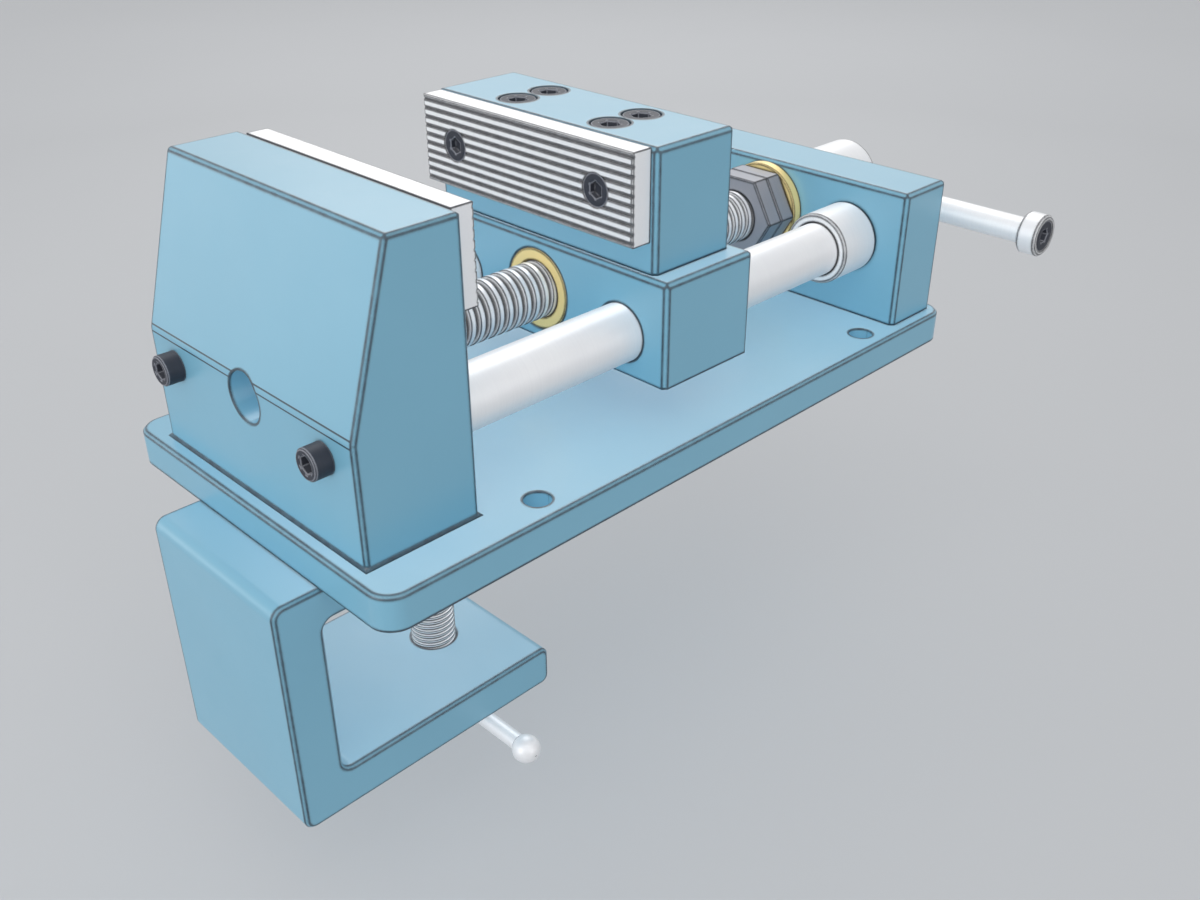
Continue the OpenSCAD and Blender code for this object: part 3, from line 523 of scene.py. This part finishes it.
class Finishes:
    """All the materials of the vise, by what they are on."""

    def __init__(self) -> None:
        """Builds the shared effects and every material."""
        effects = Effects()
        oxide = {"edge_share": 0.7, "line_radius": 0.6 * MM, "specular": 0.25}
        self.paint = PaintFinish().build(effects)
        self.bent_paint = PaintFinish("sprayed_blue_bent", bends=(50.23 * MM, 52.52 * MM)
                                      ).build(effects)
        self.ground = MetalFinish("ground_steel", BRIGHT, Lay.LINES_ALONG_Y, 0.42, 0.2,
                                  line_radius=0.9 * MM).build(effects)
        self.rod = MetalFinish("turned_steel_x", BRIGHT, Lay.RINGS_ABOUT_X, 0.40, 0.2
                               ).build(effects)
        self.bar = MetalFinish("turned_steel_y", BRIGHT, Lay.RINGS_ABOUT_Y, 0.40, 0.2
                               ).build(effects)
        self.upright = MetalFinish("turned_steel_z", BRIGHT, Lay.RINGS_ABOUT_Z, 0.40, 0.2
                                   ).build(effects)
        # Wider painted shade in the thread roots
        self.thread = MetalFinish("cut_thread", BRIGHT, Lay.RINGS_ABOUT_X, 0.38, 0.25,
                                  gap_shade_reach=2.4 * MM, line_radius=0.8 * MM).build(effects)
        self.black_x = MetalFinish("black_oxide_x", BLACK, Lay.RINGS_ABOUT_X, 0.5, 0.1, **oxide
                                   ).build(effects)
        self.black_z = MetalFinish("black_oxide_z", BLACK, Lay.RINGS_ABOUT_Z, 0.5, 0.1, **oxide
                                   ).build(effects)
        # Narrower painted shade in the fine thread's roots
        self.fine_thread = MetalFinish("fine_thread", BRIGHT, Lay.RINGS_ABOUT_Z, 0.38, 0.25,
                                       gap_shade_reach=1.0 * MM, line_radius=0.5 * MM).build(effects)
        self.nut = MetalFinish("grey_nut", GREY, Lay.RINGS_ABOUT_X, 0.45, 0.35).build(effects)
        self.brass = MetalFinish("turned_brass", GOLDEN, Lay.RINGS_ABOUT_X, 0.42, 0.35
                                 ).build(effects)


class Shape:
    """A mesh in the making, shaped along its own Z axis and then put in place."""

    def __init__(self) -> None:
        """Opens an empty bmesh."""
        self.bm = bmesh.new()

    def turn(self, outline: Outline, steps: int = 96) -> list[bmesh.types.BMVert]:
        """Spins an outline about Z.

        Args:
            outline: Points as radius and height, in order.
            steps: Number of facets round the axis.

        Returns:
            The vertices of the turned form.
        """
        verts = [self.bm.verts.new((r, 0.0, z)) for r, z in outline]
        edges = [self.bm.edges.new(pair) for pair in zip(verts, verts[1:])]
        before = set(self.bm.verts) - set(verts)
        bmesh.ops.spin(self.bm, geom=verts + edges, cent=(0, 0, 0), axis=(0, 0, 1),
                       dvec=(0, 0, 0), angle=FULL_TURN, steps=steps, use_merge=True)
        made = [v for v in self.bm.verts if v not in before]
        bmesh.ops.remove_doubles(self.bm, verts=made, dist=TURNED_WELD)
        return [v for v in self.bm.verts if v not in before]

    def hexagon(self, verts: Iterable[bmesh.types.BMVert], limit: float) -> None:
        """Draws rings in to hexagons whose corners stay where they are.

        Args:
            verts: The vertices to look at.
            limit: Only rings within this radius are drawn in.
        """
        for vert in verts:
            if math.hypot(vert.co.x, vert.co.y) <= limit:
                angle = math.atan2(vert.co.y, vert.co.x) % (2.0 * HEX_HALF_SIDE)
                vert.co.xy = vert.co.xy * (math.cos(HEX_HALF_SIDE)
                                           / math.cos(angle - HEX_HALF_SIDE))

    def move(self, matrix: Matrix, verts: Iterable[bmesh.types.BMVert] | None = None) -> None:
        """Moves the whole mesh, or some of its vertices, by a matrix."""
        chosen = list(self.bm.verts if verts is None else verts)
        bmesh.ops.transform(self.bm, matrix=matrix, verts=chosen)

    def trim(self, height: float, upwards: bool) -> None:
        """Cuts the mesh off at a height and closes it.

        Args:
            height: Where the cut lies.
            upwards: True to remove what lies above, False for what lies below.
        """
        normal = (0, 0, 1) if upwards else (0, 0, -1)
        geom = self.bm.verts[:] + self.bm.edges[:] + self.bm.faces[:]
        bmesh.ops.bisect_plane(self.bm, geom=geom, dist=CUT_WELD, plane_co=(0, 0, height),
                               plane_no=normal, clear_outer=True)
        rim = [e for e in self.bm.edges if e.is_boundary
               and all(abs(v.co.z - height) < THREAD_WELD for v in e.verts)]
        bmesh.ops.holes_fill(self.bm, edges=rim, sides=0)

    def finish(self, name: str) -> bpy.types.Object:
        """Closes the bmesh and makes the object.

        Args:
            name: The object's name.

        Returns:
            The object, at the origin, unturned and unscaled.
        """
        bmesh.ops.recalc_face_normals(self.bm, faces=self.bm.faces[:])
        mesh = bpy.data.meshes.new(name)
        for face in self.bm.faces:
            face.smooth = True
        self.bm.to_mesh(mesh)
        self.bm.free()
        mesh.set_sharp_from_angle(angle=math.radians(SHARP_ANGLE))
        made = bpy.data.objects.new(name, mesh)
        bpy.context.scene.collection.objects.link(made)
        return made


class Axis(Enum):
    """Direction in which a shape's own Z axis is laid."""

    ALONG_X = ((0.0, 0.0, 1.0), (0.0, 1.0, 0.0), (-1.0, 0.0, 0.0))
    AGAINST_X = ((0.0, 0.0, -1.0), (0.0, 1.0, 0.0), (1.0, 0.0, 0.0))
    ALONG_Y = ((1.0, 0.0, 0.0), (0.0, 0.0, 1.0), (0.0, -1.0, 0.0))
    AGAINST_Y = ((1.0, 0.0, 0.0), (0.0, 0.0, -1.0), (0.0, 1.0, 0.0))
    ALONG_Z = ((1.0, 0.0, 0.0), (0.0, 1.0, 0.0), (0.0, 0.0, 1.0))

    def at(self, x: float, y: float, z: float) -> Matrix:
        """Returns the matrix that lays a shape this way with its origin at a point."""
        return Matrix.Translation((x, y, z)) @ Matrix(self.value).to_4x4()


@dataclass
class Part:
    """A piece of the vise that stands for a node of the construction."""

    node: str
    slot: str
    material: bpy.types.Material

    def dress(self, shape: Shape) -> None:
        """Makes the object, lets it ride with its body and hides the plain node.

        Args:
            shape: The finished mesh, in its place.
        """
        made = shape.finish(self.node + "_finished")
        made.data.materials.append(self.material)
        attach(made, frame["nodes"][self.node]["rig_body"])
        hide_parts(self.node)
        LOG.info("%s: %d faces", made.name, len(made.data.polygons))


@dataclass(frozen=True)
class Span:
    """Box of a node at rest."""

    low: Vector
    high: Vector

    @classmethod
    def of(cls, node: str) -> "Span":
        """Returns the box of a named node."""
        return cls(*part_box(node))

    @property
    def middle(self) -> Vector:
        """The box's centre."""
        return (self.low + self.high) / 2.0

    @property
    def size(self) -> Vector:
        """The box's length along each axis."""
        return self.high - self.low


def bush_outline(radius: float, length: float, edge: float, bore: float = 0.0,
                 lip: float = 0.0) -> list[tuple[float, float]]:
    """Gives the outline of a bar or bush with chamfered edges.

    Args:
        radius: Outside radius.
        length: Length along the axis, from zero.
        edge: Chamfer on the outer edges.
        bore: Radius of the bore, or zero.
        lip: Chamfer on the bore's edges.

    Returns:
        Points as radius and height.
    """
    outer = [(radius - edge, 0.0), (radius, edge), (radius, length - edge),
             (radius - edge, length)]
    if bore <= 0.0:
        return [(0.0, 0.0), *outer, (0.0, length)]
    return [(bore + lip, 0.0), *outer, (bore + lip, length), (bore, length - lip), (bore, lip),
            (bore + lip, 0.0)]


class Hand(Enum):
    """Hand of a thread, as the sign of its turn along its axis."""

    RIGHT = 1.0
    LEFT = -1.0


@dataclass(frozen=True)
class Thread:
    """An outside thread, swept as one helix about Z."""

    crest_r: float
    root_r: float
    pitch: float
    crest_share: float
    root_share: float
    hand: Hand
    steps: int = 64

    def cut(self, shape: Shape, low: float, high: float, lead_in: float) -> None:
        """Adds the thread between two heights, closed at both ends.

        Args:
            shape: The mesh that it goes into.
            low: Height of the lower end.
            high: Height of the upper end.
            lead_in: Length over which the thread fades at each end.
        """
        flank = (1.0 - self.crest_share - self.root_share) / 2.0
        shares = [(self.root_r, 0.0), (self.root_r, self.root_share),
                  (self.crest_r, self.root_share + flank),
                  (self.crest_r, self.root_share + flank + self.crest_share),
                  (self.root_r, 1.0)]
        bm = shape.bm
        start = low - self.pitch
        turns = math.ceil((high - low) / self.pitch) + 1
        verts = [bm.verts.new((r, 0.0, start + share * self.pitch)) for r, share in shares]
        edges = [bm.edges.new(pair) for pair in zip(verts, verts[1:])]
        bmesh.ops.spin(bm, geom=verts + edges, cent=(0, 0, 0), axis=(0, 0, 1),
                       dvec=(0, 0, self.pitch / self.steps), steps=self.steps * turns,
                       angle=self.hand.value * FULL_TURN * turns, use_merge=False)
        bmesh.ops.remove_doubles(bm, verts=bm.verts[:], dist=THREAD_WELD)
        for vert in bm.verts:
            reach = math.hypot(vert.co.x, vert.co.y)
            depth = min(vert.co.z - low, high - vert.co.z)
            allowed = self.root_r + (self.crest_r - self.root_r) * max(depth, 0.0) / lead_in
            if reach > allowed:
                vert.co.xy = vert.co.xy * (max(allowed, self.root_r) / reach)
        shape.trim(high, True)
        shape.trim(low, False)


@dataclass(frozen=True)
class KeySocket:
    """Hexagon socket in a screw's head, with a drilled bottom and a chamfered rim."""

    key: float
    lip: float
    drill_h: float
    drill_share: float = 0.9
    margin: float = 0.1 * MM
    facets: int = 72

    @property
    def rim(self) -> float:
        """Radius of the socket's corners."""
        return self.key / 2.0 / math.cos(HEX_HALF_SIDE)

    def outline(self, floor: float, top: float) -> list[tuple[float, float]]:
        """Returns the socket's outline between two heights, from the axis outwards."""
        return [(0.0, floor - self.drill_h), (self.rim * self.drill_share, floor),
                (self.rim, floor), (self.rim, top - self.lip), (self.rim + self.lip, top)]

    def turn(self, shape: Shape, outline: Outline, floor: float, place: Matrix) -> None:
        """Turns a screw and draws its socket in to a hexagon.

        Args:
            shape: The mesh that it goes into.
            outline: The whole screw's outline.
            floor: Height of the socket's floor.
            place: The screw's place.
        """
        verts = shape.turn(outline, self.facets)
        inner = [v for v in verts if v.co.z > floor - self.drill_h - self.margin]
        shape.hexagon(inner, self.rim + self.lip / 2.0)
        shape.move(place, verts)


@dataclass(frozen=True)
class SocketScrew:
    """Socket head screw, its head above zero and its shank below."""

    shank_d: float
    shank_l: float
    head_d: float
    head_h: float
    key: float
    edge: float = 0.5 * MM
    tip: float = 0.8 * MM
    lip: float = 0.3 * MM
    drill_h: float = 0.6 * MM
    depth_share: float = 0.5

    def add(self, shape: Shape, place: Matrix) -> None:
        """Adds the screw to a mesh at a place."""
        r = self.head_d / 2.0
        s = self.shank_d / 2.0
        socket = KeySocket(self.key, self.lip, self.drill_h)
        floor = self.head_h * self.depth_share
        outline = [*socket.outline(floor, self.head_h), (r - self.edge, self.head_h),
                   (r, self.head_h - self.edge), (r, 0.0), (s, 0.0),
                   (s, self.tip - self.shank_l), (s - self.tip, -self.shank_l),
                   (0.0, -self.shank_l)]
        socket.turn(shape, outline, floor, place)


@dataclass(frozen=True)
class FlushScrew:
    """Countersunk socket screw, the top of its head at zero."""

    shank_d: float
    shank_l: float
    head_d: float
    key: float
    edge: float = 0.35 * MM
    edge_h: float = 0.12 * MM
    gap: float = 0.05 * MM
    tip: float = 0.6 * MM
    lip: float = 0.2 * MM
    drill_h: float = 0.4 * MM
    depth_share: float = 0.9

    def add(self, shape: Shape, place: Matrix) -> None:
        """Adds the screw to a mesh at a place."""
        r = self.head_d / 2.0
        s = self.shank_d / 2.0
        cone = r - s
        socket = KeySocket(self.key, self.lip, self.drill_h)
        floor = -cone * self.depth_share
        outline = [*socket.outline(floor, 0.0), (r - self.edge, 0.0),
                   (r - self.gap, -self.edge_h), (s, -cone), (s, self.tip - self.shank_l),
                   (s - self.tip, -self.shank_l), (0.0, -self.shank_l)]
        socket.turn(shape, outline, floor, place)


@dataclass
class PaintedBlocks:
    """The sprayed steel blocks, which keep their own solids."""

    finishes: Finishes
    nodes: tuple[str, ...] = ("base_plate", "rear_block", "carriage_block", "upper_jaw",
                              "clamp_bracket")

    def dress(self) -> None:
        """Gives each block its paint."""
        for name in self.nodes:
            paint_node(name, self.finishes.paint)
        paint_node("fixed_jaw", self.finishes.bent_paint)


def paint_node(name: str, material: bpy.types.Material) -> None:
    """Gives a node of the construction a material of its own."""
    for place in frame["nodes"][name].material_slots:
        place.material = material
    LOG.info("%s: %s", name, material.name)


@dataclass
class JawPlates:
    """The grooved jaw plates and their countersunk screws."""

    finishes: Finishes
    screw: FlushScrew = FlushScrew(6.0 * MM, 20.0 * MM, 11.0 * MM, 5.0 * MM)

    def dress(self) -> None:
        """Dresses both plates and their screws."""
        for name in ("fixed_jaw_plate", "moving_jaw_plate"):
            paint_node(name, self.finishes.ground)
        self._screws("fixed_plate_screws", Axis.ALONG_X)
        self._screws("moving_plate_screws", Axis.AGAINST_X)

    def _screws(self, node: str, axis: Axis) -> None:
        """Adds the two screws of one plate.

        Args:
            node: The screws' node.
            axis: The way out of the plate.
        """
        span = Span.of(node)
        face = span.high.x if axis is Axis.ALONG_X else span.low.x
        reach = span.size.y / 2.0 - self.screw.head_d / 2.0
        shape = Shape()
        for side in SIDES:
            self.screw.add(shape, axis.at(face, side * reach, span.middle.z))
        Part(node, "black_steel", self.finishes.black_x).dress(shape)


@dataclass
class Guides:
    """The guide rods with their stop collars and end bolts."""

    finishes: Finishes
    rod_edge: float = 1.0 * MM
    collar_edge: float = 0.8 * MM
    collar_lip: float = 0.5 * MM
    bolt: SocketScrew = SocketScrew(6.0 * MM, 25.0 * MM, 10.0 * MM, 6.0 * MM, 5.0 * MM)

    def dress(self) -> None:
        """Builds the rods, the collars and the bolts."""
        for side in ("left", "right"):
            self._rod("guide_rod_" + side)
            self._collar("rod_collar_" + side)
        self._bolts("rod_bolts_front", Axis.AGAINST_X)
        self._bolts("rod_bolts_rear", Axis.ALONG_X)

    def _rod(self, node: str) -> None:
        """Builds one rod."""
        span = Span.of(node)
        shape = Shape()
        shape.turn(bush_outline(span.size.z / 2.0, span.size.x, self.rod_edge))
        shape.move(Axis.ALONG_X.at(span.low.x, span.middle.y, span.middle.z))
        Part(node, "bright_steel", self.finishes.rod).dress(shape)

    def _collar(self, node: str) -> None:
        """Builds one collar round its rod."""
        span = Span.of(node)
        bore = Span.of(node.replace("rod_collar", "guide_rod")).size.z / 2.0
        shape = Shape()
        shape.turn(bush_outline(span.size.z / 2.0, span.size.x, self.collar_edge, bore,
                                self.collar_lip))
        shape.move(Axis.ALONG_X.at(span.low.x, span.middle.y, span.middle.z))
        Part(node, "bright_steel", self.finishes.rod).dress(shape)

    def _bolts(self, node: str, axis: Axis) -> None:
        """Builds the two bolts at one end of the rods."""
        span = Span.of(node)
        outward = axis is Axis.ALONG_X
        seat = span.high.x - self.bolt.head_h if outward else span.low.x + self.bolt.head_h
        reach = span.size.y / 2.0 - self.bolt.head_d / 2.0
        shape = Shape()
        for side in SIDES:
            self.bolt.add(shape, axis.at(seat, side * reach, span.middle.z))
        Part(node, "black_steel", self.finishes.black_x).dress(shape)


@dataclass
class Carriage:
    """The lead nut and the upper jaw's screws."""

    finishes: Finishes
    bolt: SocketScrew = SocketScrew(8.0 * MM, 50.0 * MM, 13.0 * MM, 8.0 * MM, 6.0 * MM)
    nut_bore: float = 10.08 * MM
    nut_edge: float = 0.3 * MM

    def dress(self) -> None:
        """Builds the nut and the screws."""
        self._nut()
        self._bolts()

    def _nut(self) -> None:
        """Builds the brass lead nut."""
        span = Span.of("lead_nut")
        shape = Shape()
        shape.turn(bush_outline(span.size.z / 2.0, span.size.x, self.nut_edge, self.nut_bore,
                                self.nut_edge))
        shape.move(Axis.ALONG_X.at(span.low.x, 0.0, span.middle.z))
        Part("lead_nut", "brass", self.finishes.brass).dress(shape)

    def _bolts(self) -> None:
        """Builds the four screws of the upper jaw."""
        span = Span.of("upper_jaw_screws")
        reach = span.size / 2.0
        r = self.bolt.head_d / 2.0
        shape = Shape()
        for along in SIDES:
            for across in SIDES:
                self.bolt.add(shape, Axis.ALONG_Z.at(
                    span.middle.x + along * (reach.x - r), across * (reach.y - r),
                    span.high.z - self.bolt.head_h))
        Part("upper_jaw_screws", "black_steel", self.finishes.black_z).dress(shape)


@dataclass
class Spindle:
    """The lead screw with its nuts, bush, hub and handle."""

    finishes: Finishes
    thread: Thread = Thread(10.0 * MM, 7.75 * MM, 4.0 * MM, 0.5, 0.2, Hand.LEFT)
    shoulder_x: float = -100.0 * MM
    thread_end_x: float = 93.2 * MM
    lead_in: float = 1.5 * MM
    front_journal_r: float = 8.0 * MM
    front_edge: float = 0.8 * MM
    rear_journal_r: float = 7.5 * MM
    rear_edge: float = 0.5 * MM
    bar_edge: float = 0.3 * MM
    cap_screw: FlushScrew = FlushScrew(6.0 * MM, 16.0 * MM, 12.0 * MM, 5.0 * MM)

    def dress(self) -> None:
        """Builds the screw, the handle bar and its cap screws, and dresses the nuts, the bush, the
        hub, its pin and the handle's caps.
        """
        self._screw()
        for name in ("jam_nut_front", "jam_nut_rear"):
            paint_node(name, self.finishes.nut)
        paint_node("thrust_bush", self.finishes.brass)
        paint_node("screw_hub", self.finishes.rod)
        paint_node("hub_pin", self.finishes.black_x)
        self._bar()
        for name in ("handle_cap_left", "handle_cap_right"):
            paint_node(name, self.finishes.bar)
        self._cap_screws()

    def _screw(self) -> None:
        """Builds the threaded screw with its two journals."""
        span = Span.of("lead_screw")
        shape = Shape()
        self.thread.cut(shape, self.shoulder_x, self.thread_end_x, self.lead_in)
        front = bush_outline(self.front_journal_r, self.shoulder_x - span.low.x,
                             self.front_edge)
        rear = bush_outline(self.rear_journal_r, span.high.x - self.thread_end_x,
                            self.rear_edge)
        shape.move(Matrix.Translation((0, 0, span.low.x)), shape.turn(front))
        shape.move(Matrix.Translation((0, 0, self.thread_end_x)), shape.turn(rear))
        shape.move(Axis.ALONG_X.at(0.0, 0.0, span.middle.z))
        Part("lead_screw", "bright_steel", self.finishes.thread).dress(shape)

    def _bar(self) -> None:
        """Builds the handle bar."""
        span = Span.of("handle_bar")
        shape = Shape()
        shape.turn(bush_outline(span.size.z / 2.0, span.size.y, self.bar_edge))
        shape.move(Axis.ALONG_Y.at(span.middle.x, span.low.y, span.middle.z))
        Part("handle_bar", "bright_steel", self.finishes.bar).dress(shape)

    def _cap_screws(self) -> None:
        """Builds the screws in the ends of the handle."""
        span = Span.of("cap_screws")
        shape = Shape()
        self.cap_screw.add(shape, Axis.ALONG_Y.at(span.middle.x, span.high.y, span.middle.z))
        self.cap_screw.add(shape, Axis.AGAINST_Y.at(span.middle.x, span.low.y, span.middle.z))
        Part("cap_screws", "black_steel", self.finishes.black_x).dress(shape)


@dataclass
class BenchClamp:
    """The clamp screw with its pad and cross bar, and the screws driven from below."""

    finishes: Finishes
    thread: Thread = Thread(8.0 * MM, 6.8 * MM, 2.0 * MM, 0.4, 0.2, Hand.RIGHT)
    lead_in: float = 1.2 * MM
    tail_l: float = 15.0 * MM
    tail_edge: float = 1.0 * MM
    nose_r: float = 5.0 * MM
    nose_l: float = 6.0 * MM
    nose_edge: float = 0.4 * MM

    def dress(self) -> None:
        """Builds the screw and dresses what it carries."""
        self._screw()
        for name in ("clamp_pad", "clamp_ball_left", "clamp_ball_right"):
            paint_node(name, self.finishes.upright)
        paint_node("clamp_bar", self.finishes.bar)
        paint_node("pad_snap_ring", self.finishes.black_z)
        for name in ("rear_block_screws", "bracket_screws"):
            paint_node(name, self.finishes.black_z)

    def _screw(self) -> None:
        """Builds the threaded clamp screw with its plain tail and nose."""
        span = Span.of("clamp_screw")
        tail_z = span.low.z + self.tail_l
        nose_z = span.high.z - self.nose_l
        shape = Shape()
        self.thread.cut(shape, tail_z, nose_z, self.lead_in)
        tail = bush_outline(self.thread.crest_r, self.tail_l, self.tail_edge)
        nose = bush_outline(self.nose_r, self.nose_l, self.nose_edge)
        shape.move(Matrix.Translation((0, 0, span.low.z)), shape.turn(tail))
        shape.move(Matrix.Translation((0, 0, nose_z)), shape.turn(nose))
        shape.move(Axis.ALONG_Z.at(span.middle.x, span.middle.y, 0.0))
        Part("clamp_screw", "bright_steel", self.finishes.fine_thread).dress(shape)


@dataclass(frozen=True)
class PhotoCamera:
    """Camera at the photograph's place, angle and lens."""

    place: tuple[float, float, float] = (-0.29168, -0.29580, 0.21031)
    yaw: float = 45.19
    pitch: float = -30.03
    roll: float = -0.18
    focal_px: float = 1230.72
    frame_px: float = 1200.0
    sensor_mm: float = 36.0

    def build(self) -> None:
        """Makes the camera and lets the scene use it."""
        yaw, pitch, roll = (math.radians(a) for a in (self.yaw, self.pitch, self.roll))
        ahead = Vector((math.cos(pitch) * math.cos(yaw), math.cos(pitch) * math.sin(yaw),
                        math.sin(pitch)))
        level = Vector((math.sin(yaw), -math.cos(yaw), 0.0))
        upright = level.cross(ahead)
        right = level * math.cos(roll) + upright * math.sin(roll)
        above = upright * math.cos(roll) - level * math.sin(roll)
        turn = Matrix((right, above, -ahead)).transposed().to_4x4()
        data = bpy.data.cameras.new("photo_camera")
        data.sensor_width = self.sensor_mm
        data.lens = self.sensor_mm * self.focal_px / self.frame_px
        camera = bpy.data.objects.new("photo_camera", data)
        camera.matrix_world = Matrix.Translation(self.place) @ turn
        bpy.context.scene.collection.objects.link(camera)
        bpy.context.scene.camera = camera


@dataclass(frozen=True)
class Lamp:
    """One soft square lamp aimed at the vise. Without shadows, nothing blocks its light."""

    name: str
    place: tuple[float, float, float]
    size: float
    watts: float
    shadows: bool = True
    aim: tuple[float, float, float] = (0.0, 0.0, 0.03)

    def build(self) -> None:
        """Makes the lamp."""
        data = bpy.data.lights.new(self.name, "AREA")
        data.size = self.size
        data.energy = self.watts
        data.use_shadow = self.shadows
        data.cycles.use_multiple_importance_sampling = self.shadows
        lamp = bpy.data.objects.new(self.name, data)
        lamp.location = self.place
        way = Vector(self.aim) - Vector(self.place)
        lamp.rotation_euler = way.to_track_quat("-Z", "Y").to_euler()
        bpy.context.scene.collection.objects.link(lamp)


@dataclass(frozen=True)
class Studio:
    """Plain pale floor, soft lamps and a white surround."""

    floor_z: float = -0.140
    floor_half: float = 6.0
    floor_colour: Colour = srgb(192, 194, 197)
    floor_patches: Patches = Patches(3.0, 3.0)
    floor_dim: float = 0.985
    floor_roughness: float = 0.9
    floor_specular: float = 0.1
    # Between these distances the floor gains the light that the lamps don't bring there
    near_reach: float = 1.0
    far_reach: float = 2.6
    far_lift: float = 0.5
    surround: float = 0.45
    lamps: tuple[Lamp, ...] = (
        Lamp("key", (-0.60, -0.70, 1.00), 1.4, 4.0),
        Lamp("left_fill", (-1.45, 0.05, 0.40), 1.2, 10.5, False),
        Lamp("front_fill", (0.10, -1.45, 0.30), 1.2, 5.0, False),
        Lamp("even_sheen", (0.77, 0.77, 1.17), 1.1, 12.0, False),
        Lamp("end_sheen", (-1.02, 1.22, 0.16), 0.7, 1.8, False))

    def build(self) -> None:
        """Makes the floor, the surround and the lamps."""
        self._floor()
        self._surround()
        for lamp in self.lamps:
            lamp.build()
        bpy.context.scene.view_settings.view_transform = "Standard"

    def _floor(self) -> None:
        """Makes the floor, which stays as pale where the lamps don't reach."""
        bm = bmesh.new()
        bmesh.ops.create_grid(bm, x_segments=1, y_segments=1, size=self.floor_half)
        bmesh.ops.translate(bm, verts=bm.verts, vec=(0, 0, self.floor_z))
        mesh = bpy.data.meshes.new("floor")
        bm.to_mesh(mesh)
        bm.free()
        floor = bpy.data.objects.new("floor", mesh)
        material, graph, shader, place = open_material("floor_paper")
        tone = graph.patches(place, self.floor_patches)
        dim = tuple(self.floor_dim * part for part in self.floor_colour)
        colour = graph.blend(tone, (*dim, 1.0), (*self.floor_colour, 1.0))
        graph.tree.links.new(colour, shader.inputs["Base Color"])
        shader.inputs["Roughness"].default_value = self.floor_roughness
        shader.inputs["Specular IOR Level"].default_value = self.floor_specular
        away = graph.add("ShaderNodeVectorMath", {"operation": "LENGTH"}, {0: place})
        lift = graph.ramp(away.outputs["Value"], self.near_reach, self.far_reach, 0.0,
                          self.far_lift)
        seen = graph.add("ShaderNodeLightPath").outputs["Is Camera Ray"]
        graph.tree.links.new(graph.maths("MULTIPLY", lift, seen),
                             shader.inputs["Emission Strength"])
        shader.inputs["Emission Color"].default_value = (*self.floor_colour, 1.0)
        mesh.materials.append(material)
        bpy.context.scene.collection.objects.link(floor)

    def _surround(self) -> None:
        """Makes a plain white surround, full white only where it is seen or mirrored."""
        world = bpy.data.worlds.new("surround")
        world.use_nodes = True
        graph = Graph(world.node_tree)
        back = world.node_tree.nodes["Background"]
        path = graph.add("ShaderNodeLightPath")
        seen = graph.maths("MAXIMUM", path.outputs["Is Camera Ray"], path.outputs["Is Glossy Ray"])
        seen = graph.maths("MAXIMUM", seen, path.outputs["Is Transmission Ray"])
        graph.tree.links.new(graph.ramp(seen, 0.0, 1.0, self.surround, 1.0),
                             back.inputs["Strength"])
        bpy.context.scene.world = world
        back.inputs["Color"].default_value = (1.0, 1.0, 1.0, 1.0)


def main() -> None:
    """Builds the stage and every sub-assembly in order."""
    logging.basicConfig(level=logging.INFO, format="%(message)s")
    PhotoCamera().build()
    Studio().build()
    finishes = Finishes()
    for group in (PaintedBlocks(finishes), JawPlates(finishes), Guides(finishes),
                  Carriage(finishes), Spindle(finishes), BenchClamp(finishes)):
        group.dress()


if __name__ == "__main__":
    main()
